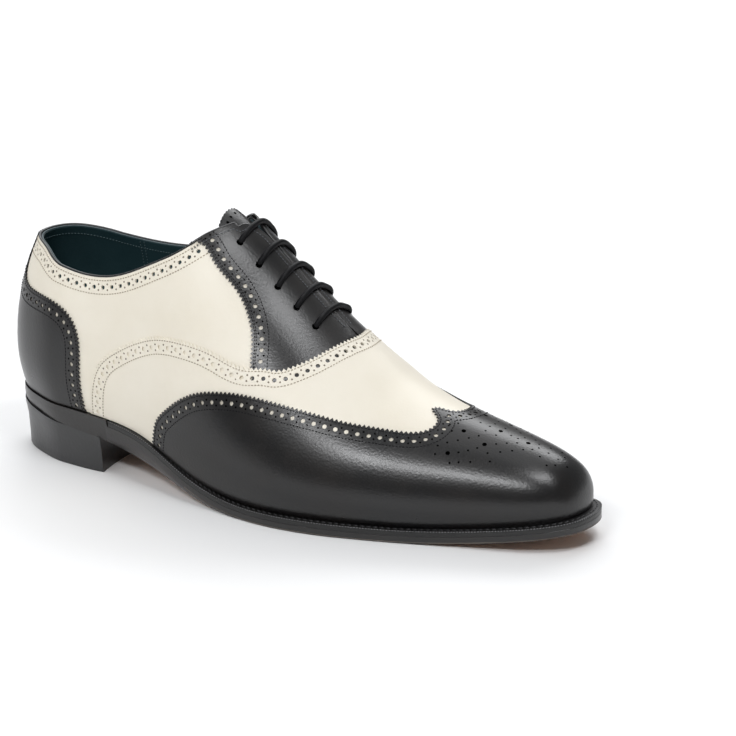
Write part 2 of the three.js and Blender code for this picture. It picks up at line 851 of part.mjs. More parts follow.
// Welt: a flat strip round the forepart, lapped under the upper
function welt() {
  const places = soleStations().filter((place) => place < placeOf(SEAT_END));
  places.push(placeOf(SEAT_END + (2 * GAP) / TOE_REACH));
  const facets = new Facets();
  const lap = () => -WELT_LAP;
  const top = (place) => edge.height(place) - GAP;
  const bottom = (place) => edge.height(place) - GAP - WELT_THICKNESS;
  const corners = [
    ringAt(edgeMargin, top),
    ringAt(edgeMargin, bottom),
    ringAt(lap, bottom),
    ringAt(lap, top),
  ];
  for (const side of [OUTER, INNER]) {
    const rings = corners.map((ring) => places.map((place) => ring(place, side)));
    const last = places.length - 1;
    const add = (a, b, c, d) => (side.sign < 0 ? facets.quad(a, b, c, d) : facets.quad(a, d, c, b));
    for (let k = 0; k < rings.length; k += 1) {
      const next = rings[(k + 1) % rings.length];
      for (let i = 0; i < last; i += 1) {
        add(rings[k][i], rings[k][i + 1], next[i + 1], next[i]);
      }
    }
    add(rings[0][last], rings[3][last], rings[2][last], rings[1][last]);
  }
  return facets.geometry();
}

// Heel: tapered to its tread, with a hollow breast
function heel() {
  const corner = placeOf((BREAST_X - HEEL_AXIS_X) / TOE_REACH);
  const places = soleStations().filter((place) => place >= corner);
  const ring = (inset, height) => {
    const outline = (side) =>
      places.map((place) => footPoint(place, side, rimMargin(place, side) - inset));
    const around = [...outline(OUTER), ...outline(INNER).reverse().slice(1)];
    const start = around[around.length - 1];
    const end = around[0];
    for (let i = 1; i < BREAST_STEPS; i += 1) {
      const share = i / BREAST_STEPS;
      const point = start.clone().lerp(end, share);
      point.x -= BREAST_HOLLOW * 4 * share * (1 - share);
      around.push(point);
    }
    return around.reverse().map((point) => new THREE.Vector3(point.x, point.y, height(point.x)));
  };
  const top = ring(0, (x) => seatPlane(x) - GAP);
  const tread = ring(HEEL_TAPER, () => 0);
  const facets = new Facets();
  const plan = tread.map((point) => new THREE.Vector2(point.x, point.y));
  for (const [a, b, c] of THREE.ShapeUtils.triangulateShape(plan, [])) {
    facets.triangle(top[a], top[b], top[c]);
    facets.triangle(tread[a], tread[c], tread[b]);
  }
  for (let i = 0; i < top.length; i += 1) {
    const next = (i + 1) % top.length;
    facets.quad(top[i], tread[i], tread[next], top[next]);
  }
  return facets.geometry();
}

// A bar of the lace, laid over the facings from hole to hole
function laceBar(at) {
  const place = placeOf(at);
  const lift = 2 * GAP + OVERLAY_THICKNESS + LACE_WIDTH / 2;
  const points = [];
  for (const side of [OUTER, INNER]) {
    const reach = [];
    for (const share of LACE_REACH) {
      reach.push(laceRest(place, side, (share * LACE_SPAN) / 2, lift));
    }
    points.push(...(side.sign < 0 ? reach : reach.reverse()));
  }
  const section = [];
  for (let i = 0; i < LACE_SIDES; i += 1) {
    const turn = (2 * Math.PI * i) / LACE_SIDES;
    section.push(new THREE.Vector2(Math.cos(turn), Math.sin(turn)).multiplyScalar(LACE_WIDTH / 2));
  }
  const path = new THREE.CatmullRomCurve3(points);
  const shape = new THREE.Shape(section);
  const sweep = { steps: LACE_STEPS, extrudePath: path, bevelEnabled: false };
  const geometry = new THREE.ExtrudeGeometry(shape, sweep);
  return geometryOf(plainSolid(geometry));
}

// The point above a rib a given way from the middle of the slit
function laceRest(place, side, reach, lift) {
  let low = 1;
  let high = 2;
  for (let i = 0; i < HALVINGS; i += 1) {
    const middle = (low + high) / 2;
    const away = side.sign * (skin(place, side, middle).y - swell.side(place));
    if (away > reach) {
      low = middle;
    } else {
      high = middle;
    }
  }
  return offsetSkin(place, side, low, lift);
}

addPiece("upper", upper(), materials.creamCalf);
addPiece("wing_cap", geometryOf(wingCap()), materials.blackCalf);
addPiece("heel_counter", geometryOf(heelCounter()), materials.blackCalf);
addPiece("facing_outer", geometryOf(facing(OUTER)), materials.blackCalf);
addPiece("facing_inner", geometryOf(facing(INNER)), materials.blackCalf);
addPiece("tongue", tongue(), materials.blackCalf);
addPiece("insole", insole(), materials.insole);
addPiece("welt", welt(), materials.welt);
addPiece("outsole", outsole(), materials.soleEdge);
addPiece("heel", heel(), materials.heel);
for (let i = 0; i < LACE_BARS; i += 1) {
  const at = THREE.MathUtils.lerp(FIRST_BAR, LAST_BAR, i / (LACE_BARS - 1));
  addPiece(`lace_bar_${i + 1}`, laceBar(at), materials.lace);
}

export default shoe;
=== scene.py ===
"""Dresses the two-tone brogue, a right shoe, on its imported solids.

The shoe stands in the CAD frame: +X from heel to toe, -Y to the outer side, +Z up. The last's surface
is worked out in millimetres, from the same named sizes as the solids, and every mesh is made in metres.
"""

from __future__ import annotations

import logging
import math
from dataclasses import dataclass, field
from enum import Enum
from typing import Callable, Sequence

import bmesh
import bpy
import numpy as np
from mathutils import Matrix, Vector
from mathutils.geometry import delaunay_2d_cdt


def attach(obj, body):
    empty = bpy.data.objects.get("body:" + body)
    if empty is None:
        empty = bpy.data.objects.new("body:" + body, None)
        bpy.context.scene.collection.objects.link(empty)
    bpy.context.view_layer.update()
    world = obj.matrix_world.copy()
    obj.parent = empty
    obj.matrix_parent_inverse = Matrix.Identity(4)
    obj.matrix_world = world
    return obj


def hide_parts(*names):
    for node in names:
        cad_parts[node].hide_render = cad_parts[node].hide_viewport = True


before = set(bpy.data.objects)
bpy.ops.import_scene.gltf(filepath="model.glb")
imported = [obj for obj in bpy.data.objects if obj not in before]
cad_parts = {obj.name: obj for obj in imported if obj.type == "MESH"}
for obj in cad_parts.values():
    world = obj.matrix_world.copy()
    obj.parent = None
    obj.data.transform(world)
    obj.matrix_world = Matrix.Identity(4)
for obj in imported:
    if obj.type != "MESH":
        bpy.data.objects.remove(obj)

LOG = logging.getLogger("brogue")
MM = 0.001
BODY = "root"

# Rounds of a search along a rib
HALVINGS = 30

# How far marks and threads lie over their leather, in millimetres
MARK_LIFT = 0.01
THREAD_LIFT = 0.02

Array = np.ndarray


class Side(Enum):
    """The two sides of the shoe, as the sign of Y."""

    OUTER = -1
    INNER = 1


def table(columns: tuple[str, ...], rows: Sequence[tuple[float, ...]]) -> dict[str, Array]:
    """Turns rows with named columns into one array for each column.

    Args:
        columns: names of the columns.
        rows: one tuple for each row.

    Returns:
        The columns by name.
    """
    values = np.array(rows, dtype=float)
    return {name: values[:, i] for i, name in enumerate(columns)}


def way_along(points: Array) -> Array:
    """Distance of each point along the line that they make."""
    return np.concatenate([[0], np.cumsum(np.linalg.norm(np.diff(points, axis=0), axis=1))])


def pairs(u: Array | float, v: Array | float) -> Array:
    """Chart coordinates as rows of two. A single number goes with each of the others."""
    return np.stack(np.broadcast_arrays(u, v), axis=1)


@dataclass(frozen=True)
class LastSizes:
    """Driving sizes of the last and of what lies under it, in millimetres."""

    toe_reach: float = 254.8
    heel_axis_x: float = 8.0
    ball_width: float = 92.0
    heel_width: float = 59.0
    heel_height: float = 28.6
    toe_spring: float = 8.6
    instep_rise: float = 112.0
    collar_rise: float = 72.4
    sole: float = 3.3
    welt: float = 2.3
    gap: float = 0.3
    margin: float = 5.0
    breast_x: float = 33.0
    breast_height: float = 17.4
    heel_back_height: float = 23.4
    slit: float = 2.4
    throat_end: float = 0.528
    throat_top: float = 0.353
    heel_pace: float = 0.1325
    spring_start: float = 0.7
    spring_curve: float = 1.8
    arch_start: float = 0.42
    arch_curve: float = 1.65
    seat_end: float = 0.118
    seat_step: float = 0.004
    corner_start: float = 0.378
    corner_reach: float = 0.044
    corner_size: float = 9.0
    swell_fade: float = 0.16
    bulge_limit: float = 0.42
    low_start: float = 0.3
    low_pull: float = 0.55

    @property
    def edge_stack(self) -> float:
        """Height of sole and welt together."""
        return self.sole + self.welt + 2 * self.gap

    @property
    def back_seam(self) -> float:
        """The place of the back seam."""
        return 1 + self.heel_pace


LOWER_EDGE = table(
    ("at", "lift", "outer", "inner"),
    [
        (1, 0, 0, 0), (0.993, 0, 0.105, 0.098), (0.973, 0, 0.17, 0.158), (0.934, 0, 0.228, 0.209),
        (0.879, 0, 0.277, 0.261), (0.801, 0, 0.342, 0.326), (0.714, 0, 0.418, 0.402),
        (0.616, 0, 0.495, 0.467), (0.51, 0, 0.533, 0.451), (0.4, 0.054, 0.505, 0.37),
        (0.302, 0.34, 0.457, 0.31), (0.204, 0.772, 0.619, 0.458), (0.106, 0.929, 0.542, 0.492),
        (0, 1, 0.505, 0.5), (-0.333, 1.036, 0.484, 0.5), (-0.667, 1.054, 0.535, 0.54),
        (-1, 1.058, 0.576, 0.576),
    ],
)

SWELL = table(
    ("at", "outer_bulge", "inner_bulge", "bulge_height", "ridge_side", "ridge"),
    [
        (1, 0, 0, 0.071, -0.005, 0), (0.993, 0.011, 0.011, 0.071, -0.005, 0.096),
        (0.973, 0.016, 0.013, 0.071, -0.008, 0.171), (0.934, 0.022, 0.016, 0.071, -0.011, 0.234),
        (0.879, 0.027, 0.022, 0.08, -0.013, 0.286), (0.801, 0.033, 0.027, 0.089, -0.013, 0.345),
        (0.714, 0.038, 0.027, 0.098, -0.005, 0.409), (0.616, 0.038, 0.027, 0.107, 0.016, 0.51),
        (0.51, 0.033, 0.027, 0.116, 0.033, 0.68), (0.4, 0.027, 0.038, 0.134, 0.038, 0.884),
        (0.302, 0.022, 0.043, 0.152, 0.033, 1.005), (0.204, 0.016, 0.043, 0.161, 0.016, 0.987),
        (0.106, 0.022, 0.038, 0.179, 0.005, 0.946), (0, 0.033, 0.033, 0.188, 0, 0.905),
        (-0.333, 0.038, 0.038, 0.196, 0, 0.88), (-0.667, 0.038, 0.038, 0.196, 0, 0.877),
        (-1, 0.038, 0.038, 0.196, 0, 0.876),
    ],
)

FULLNESS = table(
    ("at", "outer_side", "outer_top", "inner_side", "inner_top"),
    [
        (1, 0.55, 0.55, 0.55, 0.55), (0.934, 0.55, 0.55, 0.55, 0.53), (0.801, 0.55, 0.52, 0.55, 0.5),
        (0.714, 0.55, 0.48, 0.52, 0.46), (0.616, 0.5, 0.42, 0.48, 0.44), (0.51, 0.45, 0.38, 0.44, 0.48),
        (0.4, 0.45, 0.44, 0.44, 0.52), (0.302, 0.52, 0.58, 0.5, 0.54), (0.204, 0.55, 0.5, 0.55, 0.48),
        (0.106, 0.55, 0.42, 0.55, 0.46), (0, 0.52, 0.42, 0.52, 0.46), (-0.333, 0.46, 0.38, 0.46, 0.42),
        (-0.667, 0.46, 0.4, 0.46, 0.43), (-1, 0.46, 0.44, 0.46, 0.44),
    ],
)

COLLAR = table(
    ("at", "outer", "inner"),
    [
        (0.353, 1.28, 1.28), (0.33, 1.272, 1.269), (0.314, 1.254, 1.242), (0.294, 1.217, 1.193),
        (0.275, 1.165, 1.131), (0.204, 1.021, 0.972), (0.126, 0.903, 0.917), (0.055, 0.878, 0.917),
        (0, 0.905, 0.936), (-0.333, 0.965, 0.977), (-0.667, 0.994, 1), (-1, 1, 1),
    ],
)

SOLE_ROWS = table(
    ("at", "outer_margin", "inner_margin", "outer_cut", "inner_cut"),
    [
        (1, 1.1, 1.1, 0.2, 0.2), (0.973, 1, 1, 0.18, 0.18), (0.879, 0.92, 0.92, 0.14, 0.14),
        (0.79, 0.88, 0.88, 0.12, 0.12), (0.616, 0.9, 0.84, 0.12, 0.12), (0.51, 0.88, 0.76, 0.12, 0.2),
        (0.42, 0.8, 0.7, 0.2, 0.6), (0.302, 0.6, 0.55, 0.7, 1.2), (0.228, 0.5, 0.45, 1, 1.4),
        (0.161, 0.42, 0.4, 0.8, 1), (0.118, 0.38, 0.38, 0.3, 0.3), (0.098, 0.36, 0.36, 0.08, 0.08),
        (0, 0.32, 0.32, 0.08, 0.08), (-1, 0.3, 0.3, 0.08, 0.08),
    ],
)

# Edges of the panels on the outer side: `at` along the shoe, and `up` from 0 at the lower edge, through 1
# at the widest place, to 2 at the ridge
WING_EDGE = table(
    ("at", "up"),
    [
        (0.226, 0), (0.231, 0.375), (0.241, 0.842), (0.266, 1.04), (0.303, 1.12), (0.34, 1.19),
        (0.378, 1.25), (0.415, 1.3), (0.466, 1.35), (0.516, 1.39), (0.567, 1.43), (0.617, 1.47),
        (0.664, 1.52), (0.7, 1.56), (0.731, 1.62), (0.745, 1.7), (0.743, 1.79), (0.732, 1.83),
    ],
)
VAMP_EDGE = table(
    ("at", "up"),
    [
        (0.074, 0), (0.078, 0.5), (0.0875, 0.976), (0.103, 1.05), (0.141, 1.114), (0.199, 1.19),
        (0.233, 1.23), (0.292, 1.29), (0.36, 1.357), (0.424, 1.411), (0.451, 1.455), (0.473, 1.485),
        (0.496, 1.548), (0.515, 1.627), (0.533, 1.744), (0.547, 1.89),
    ],
)
FACING_EDGE = table(
    ("at", "up"),
    [
        (0.434, 1.375), (0.4254, 1.427), (0.4176, 1.497), (0.4003, 1.567), (0.3662, 1.617),
        (0.3202, 1.636), (0.286, 1.65),
    ],
)
COUNTER_EDGE = table(
    ("at", "up"),
    [
        (0.064, 0), (0.062, 0.35), (0.06, 0.73), (0.0604, 1.04), (0.0585, 1.1), (0.05, 1.15),
        (0.0345, 1.19), (0.003, 1.23), (-0.289, 1.26), (-0.633, 1.29),
    ],
)

# Toe medallion: large and small holes, as shares of the toe's reach ahead of the heel's axis and of the
# ball's width beside the toe's axis
MEDALLION_LARGE = table(
    ("at", "side"),
    [(0.898, 0), (0.8395, 0.126), (0.791, 0.235), (0.845, 0), (0.795, 0.105)],
)
MEDALLION_SMALL = table(
    ("at", "side"),
    [
        (0.918, 0), (0.936, 0), (0.954, 0), (0.97, 0), (0.878, 0), (0.865, 0), (0.824, 0), (0.806, 0),
        (0.788, 0), (0.912, 0.032), (0.93, 0.052), (0.947, 0.075), (0.957, 0.045), (0.884, 0.035),
        (0.87, 0.066), (0.856, 0.097), (0.9, 0.06), (0.886, 0.094), (0.87, 0.127), (0.852, 0.158),
        (0.862, 0.185), (0.832, 0.158), (0.82, 0.186), (0.807, 0.212), (0.822, 0.095), (0.81, 0.13),
        (0.796, 0.165), (0.782, 0.197), (0.77, 0.228), (0.772, 0.262), (0.8, 0.262), (0.814, 0.244),
        (0.832, 0.222), (0.778, 0.075), (0.778, 0.135), (0.768, 0.105), (0.845, 0.045), (0.825, 0.045),
    ],
)


class Column:
    """A smooth curve through a table's column, level at the back of the heel."""

    def __init__(self, knots: Array, values: Array, level_end: bool) -> None:
        """Solves the cubic spline.

        Args:
            knots: rising parameters.
            values: the column's values there.
            level_end: whether the curve ends level.
        """
        count = len(values)
        step = np.diff(knots)
        rise = np.diff(values) / step
        matrix = np.eye(count)
        right = np.zeros(count)
        for i in range(1, count - 1):
            matrix[i, i - 1 : i + 2] = step[i - 1], 2 * (step[i - 1] + step[i]), step[i]
            right[i] = 6 * (rise[i] - rise[i - 1])
        if level_end:
            matrix[-1, -2:] = step[-1], 2 * step[-1]
            right[-1] = -6 * rise[-1]
        self.knots = knots
        self.values = values
        self.bend = np.linalg.solve(matrix, right)

    def __call__(self, place: Array) -> Array:
        """Reads the curve at one or many places."""
        knots = self.knots
        i = np.clip(np.searchsorted(knots, place) - 1, 0, len(knots) - 2)
        span = knots[i + 1] - knots[i]
        a = np.minimum((knots[i + 1] - place) / span, 1)
        b = 1 - a
        curve = (a**3 - a) * self.bend[i] + (b**3 - b) * self.bend[i + 1]
        return a * self.values[i] + b * self.values[i + 1] + curve * span * span / 6


def bezier(a: Array, b: Array, c: Array, d: Array, t: Array) -> Array:
    """One coordinate of a cubic curve with four control values."""
    s = 1 - t
    return s * s * s * a + 3 * s * s * t * b + 3 * s * t * t * c + t * t * t * d


class Last:
    """The last's surface, in millimetres: ribs from the lower edge over the widest place to the ridge."""

    def __init__(self, sizes: LastSizes) -> None:
        """Makes the curves of every column.

        Args:
            sizes: the driving sizes.
        """
        self.sizes = sizes
        width = np.where(LOWER_EDGE["at"] > 0.25, sizes.ball_width, sizes.heel_width)
        self.waist_lift = self.column(LOWER_EDGE, "lift", sizes.heel_height - sizes.edge_stack)
        self.foot = self.both(LOWER_EDGE, "", width)
        self.bulge = self.both(SWELL, "_bulge", sizes.ball_width)
        self.bulge_height = self.column(SWELL, "bulge_height", sizes.instep_rise)
        self.ridge_side = self.column(SWELL, "ridge_side", sizes.ball_width)
        self.ridge = self.column(SWELL, "ridge", sizes.instep_rise)
        self.keep_up = self.both(FULLNESS, "_side", 1)
        self.keep_level = self.both(FULLNESS, "_top", 1)
        self.collar = self.both(COLLAR, "", sizes.collar_rise)
        self.margin = self.both(SOLE_ROWS, "_margin", sizes.margin)
        self.cut = self.both(SOLE_ROWS, "_cut", sizes.margin)

    def both(self, rows: dict[str, Array], ending: str, unit: float | Array) -> dict[Side, Column]:
        """The curves of a column that the table gives for each side."""
        return {side: self.column(rows, side.name.lower() + ending, unit) for side in Side}

    def place_of(self, at: Array) -> Array:
        """The even parameter along the shoe of a share `at`: 0 at the tip."""
        at = np.asarray(at, dtype=float)
        return np.where(at >= 0, np.sqrt(np.maximum(1 - at, 0)), 1 - self.sizes.heel_pace * at)

    def at_of(self, place: Array) -> Array:
        """The share along the shoe of an even parameter."""
        place = np.asarray(place, dtype=float)
        return np.where(place <= 1, 1 - place * place, (1 - place) / self.sizes.heel_pace)

    def column(self, rows: dict[str, Array], name: str, unit: float | Array) -> Column:
        """One column as a curve, in the unit that its shares follow."""
        return Column(self.place_of(rows["at"]), rows[name] * unit, rows["at"][-1] == -1)

    @staticmethod
    def by_side(curves: dict[Side, Column], side: Array, place: Array) -> Array:
        """Reads the curve of each point's own side."""
        return np.where(side < 0, curves[Side.OUTER](place), curves[Side.INNER](place))

    def toe_lift(self, at: Array) -> Array:
        """How far the toe's spring lifts the sole."""
        s = self.sizes
        share = np.maximum(at - s.spring_start, 0) / (1 - s.spring_start)
        return s.toe_spring * share**s.spring_curve

    def edge_height(self, place: Array) -> Array:
        """Height of the upper's lower edge."""
        lift = np.maximum(self.waist_lift(place), 0)
        return self.sizes.edge_stack + lift + self.toe_lift(self.at_of(place))

    def skin(self, place: Array, side: Array, up: Array) -> Array:
        """Points of the last's surface.

        Args:
            place: even parameters along the shoe. Beyond the tip or the seam they cross to the other side.
            side: -1 on the outer side, 1 on the inner side.
            up: 0 at the lower edge, 1 at the widest place, 2 at the ridge, and more beyond the ridge.

        Returns:
            The points, as an array with a last axis of three.
        """
        place, side, up = np.broadcast_arrays(
            np.asarray(place, float), np.asarray(side, float), np.asarray(up, float)
        )
        seam = self.sizes.back_seam
        side = np.where((up > 2) ^ (place < 0) ^ (place > seam), -side, side)
        up = np.maximum(np.where(up > 2, 4 - up, up), 0)
        place = np.abs(place)
        place = np.where(place > seam, 2 * seam - place, place)
        ridge = np.maximum(self.ridge(place), 0)
        foot = np.maximum(self.by_side(self.foot, side, place), 0)
        share = np.clip(ridge / (self.sizes.swell_fade * self.sizes.instep_rise), 0, 1)
        wide = foot + self.by_side(self.bulge, side, place) * share
        bulge = np.minimum(self.bulge_height(place), self.sizes.bulge_limit * ridge)
        top = side * self.ridge_side(place)
        low_t = np.clip(up, 0, 1)
        high_t = np.clip(up - 1, 0, 1)
        start, pull = self.sizes.low_start, self.sizes.low_pull
        low_r = bezier(foot, foot + pull * (wide - foot), wide, wide, low_t)
        low_z = bezier(0 * bulge, start * bulge, pull * bulge, bulge, low_t)
        keep_up = self.by_side(self.keep_up, side, place)
        keep_level = self.by_side(self.keep_level, side, place)
        high_r = bezier(wide, wide, top + keep_level * (wide - top), top, high_t)
        high_z = bezier(bulge, bulge + keep_up * (ridge - bulge), ridge, ridge, high_t)
        r = np.where(up <= 1, low_r, high_r)
        z = np.where(up <= 1, low_z, high_z)
        at = self.at_of(place)
        turn = np.where(at >= 0, math.pi / 2, math.pi / 2 * (1 - at))
        x = self.sizes.heel_axis_x + np.maximum(at, 0) * self.sizes.toe_reach + r * np.cos(turn)
        return np.stack([x, r * side * np.sin(turn), self.edge_height(place) + z], axis=-1)

    def slit_gap(self, at: Array) -> Array:
        """Half width of the slit between the facings, wider at their rounded top corners."""
        s = self.sizes
        share = np.clip((s.throat_end - at) / (s.throat_end - s.throat_top), 0, 1)
        turn = np.clip((s.corner_start - at) / s.corner_reach, 0, 1)
        corner = s.corner_size * (1 - np.sqrt(1 - turn**2))
        return np.where((at < s.throat_end) & (at > 0), s.slit / 2 * np.sqrt(share) + corner, 0)

    def trim(self, place: Array, side: Array) -> Array:
        """Height on each rib at which the upper is cut by the collar or the slit."""
        place, side = np.broadcast_arrays(np.asarray(place, float), np.asarray(side, float))
        at = self.at_of(place)
        gap = self.slit_gap(at)
        collar = self.sizes.heel_height + self.by_side(self.collar, side, place)

        def is_over(up: Array) -> Array:
            point = self.skin(place, side, up)
            over_collar = (at < self.sizes.throat_top) & (point[..., 2] > collar)
            over_slit = (gap > 0) & (side * (point[..., 1] - self.ridge_side(place)) < gap)
            return over_collar | over_slit

        low = np.ones_like(place)
        high = np.full_like(place, 2.0)
        whole = ~is_over(high)
        for _ in range(HALVINGS):
            middle = (low + high) / 2
            over = is_over(middle)
            high = np.where(over, middle, high)
            low = np.where(over, low, middle)
        return np.where(whole, 2.0, low)

    def foot_point(self, place: Array, side: Array, margin: Array) -> Array:
        """Points of the plan outline, a margin outside the upper's lower edge."""
        step = 1e-4
        middle = np.clip(place, step, self.sizes.back_seam - step)
        point = self.skin(place, side, 0 * place)
        along = self.skin(middle + step, side, 0 * place) - self.skin(middle - step, side, 0 * place)
        outward = np.stack([along[..., 1] * side, -along[..., 0] * side, 0 * place], axis=-1)
        outward[np.asarray(place) <= step] = (1, 0, 0)
        outward[np.asarray(place) >= self.sizes.back_seam - step] = (-1, 0, 0)
        outward /= np.linalg.norm(outward, axis=-1, keepdims=True)
        return point + outward * np.asarray(margin)[..., None]

    def seat_plane(self, x: Array) -> Array:
        """Height of the heel's top plane."""
        s = self.sizes
        back = s.heel_axis_x - float(self.foot[Side.OUTER](np.array(s.back_seam)))
        share = (x - s.breast_x) / (back - s.breast_x)
        return s.breast_height + share * (s.heel_back_height - s.breast_height)

    def underside(self, place: Array) -> Array:
        """Height of the outsole's underside."""
        s = self.sizes
        at = self.at_of(place)
        breast_at = (s.breast_x - s.heel_axis_x) / s.toe_reach
        share = np.maximum(s.arch_start - at, 0) / (s.arch_start - breast_at)
        fore = self.toe_lift(at) + s.breast_height * np.minimum(share, 1) ** s.arch_curve
        rear = self.seat_plane(self.skin(place, -1, 0)[..., 0])
        return np.where(at > breast_at, fore, rear)

    def sole_top(self, place: Array) -> Array:
        """Top of the outsole: below the welt, and a step higher under the heel seat."""
        s = self.sizes
        seat = np.clip((s.seat_end - self.at_of(place)) / s.seat_step, 0, 1)
        return self.edge_height(place) - s.gap - (1 - seat) * (s.welt + s.gap)


class Chart:
    """Flat coordinates on the last, in which panels are cut."""

    STEP = 1e-4
    SCALE = (260.0, 60.0)

    def __init__(self, last: Last) -> None:
        """Keeps the last that the chart lies on."""
        self.last = last

    def side_of(self, place: Array, wanted: Array, v: Array, stride: float, limit: float) -> Array:
        """Finds the second coordinate at which the last has a wanted Y.

        Args:
            place: the first coordinates.
            wanted: Y of each point, in millimetres.
            v: first guess.
            stride: the longest step.
            limit: the largest coordinate.

        Returns:
            The second coordinates.
        """
        step = 1e-3
        least_slope = 5
        for _ in range(HALVINGS):
            here = self.surface(place, v)[:, 1]
            slope = (self.surface(place, v + step)[:, 1] - here) / step
            move = (wanted - here) / np.maximum(slope, least_slope)
            v = np.clip(v + np.clip(move, -stride, stride), -limit, limit)
        return v

    def ribs(self, u: Array, v: Array) -> tuple[Array, Array, Array]:
        """Turns chart coordinates into place, side and height on the rib."""
        raise NotImplementedError

    def safe(self, u: Array) -> Array:
        """Keeps a coordinate clear of where the ribs shrink to a point."""
        return u

    def surface(self, u: Array, v: Array) -> Array:
        """Points of the last."""
        return self.last.skin(*self.ribs(np.asarray(u, float), np.asarray(v, float)))

    def normal(self, u: Array, v: Array) -> Array:
        """Outward directions of the last."""
        u = self.safe(np.asarray(u, float))
        v = np.asarray(v, float)
        along = self.surface(u + self.STEP, v) - self.surface(u - self.STEP, v)
        across = self.surface(u, v + self.STEP) - self.surface(u, v - self.STEP)
        out = -np.cross(along, across)
        return out / np.maximum(np.linalg.norm(out, axis=-1, keepdims=True), 1e-12)

    def point(self, u: Array, v: Array, offset: Array | float = 0.0) -> Array:
        """Points a distance off the last. The lower edge stays level with the last's own."""
        base = self.surface(u, v)
        moved = base + self.normal(u, v) * np.asarray(offset)[..., None]
        at_edge = self.ribs(np.asarray(u, float), np.asarray(v, float))[2] < 1e-6
        moved[..., 2] = np.where(at_edge, base[..., 2], moved[..., 2])
        return moved

    def locate(self, target: Array, u: Array, v: Array) -> tuple[Array, Array]:
        """Finds the chart coordinates next to given points.

        Args:
            target: points in space.
            u: first guess.
            v: first guess.

        Returns:
            The chart coordinates of the nearest surface points.
        """
        step = 1e-3
        rounds = 5
        stride_u, stride_v = 0.05, 0.3
        for _ in range(rounds):
            here = self.surface(u, v)
            along = (self.surface(u + step, v) - self.surface(u - step, v)) / (2 * step)
            across = (self.surface(u, v + step) - self.surface(u, v - step)) / (2 * step)
            miss = target - here
            a = (along * along).sum(-1)
            b = (along * across).sum(-1)
            c = (across * across).sum(-1)
            p = (along * miss).sum(-1)
            q = (across * miss).sum(-1)
            det = np.maximum(a * c - b * b, 1e-9)
            u = u + np.clip((c * p - b * q) / det, -stride_u, stride_u)
            v = v + np.clip((a * q - b * p) / det, -stride_v, stride_v)
        return u, v


class ToeChart(Chart):
    """Chart over the ridge: u is the place, v runs from -2 at the outer lower edge to 2 at the inner."""

    def ribs(self, u: Array, v: Array) -> tuple[Array, Array, Array]:
        """Turns chart coordinates into place, side and height on the rib."""
        return u, np.where(v < 0, -1.0, 1.0), np.maximum(2 - np.abs(v), 0)

    def safe(self, u: Array) -> Array:
        """Keeps clear of the tip."""
        return np.maximum(u, 0.01)


class HeelChart(Chart):
    """Chart round the heel: u runs from the back seam, negative outside, and v is the height on the rib."""

    def ribs(self, u: Array, v: Array) -> tuple[Array, Array, Array]:
        """Turns chart coordinates into place, side and height on the rib."""
        place = self.last.sizes.back_seam - np.abs(u)
        return place, np.where(u < 0, -1.0, 1.0), np.maximum(v, 0)

    def u_of(self, at: Array) -> Array:
        """The way from the back seam of a share `at`, on the inner side."""
        return self.last.sizes.back_seam - self.last.place_of(at)


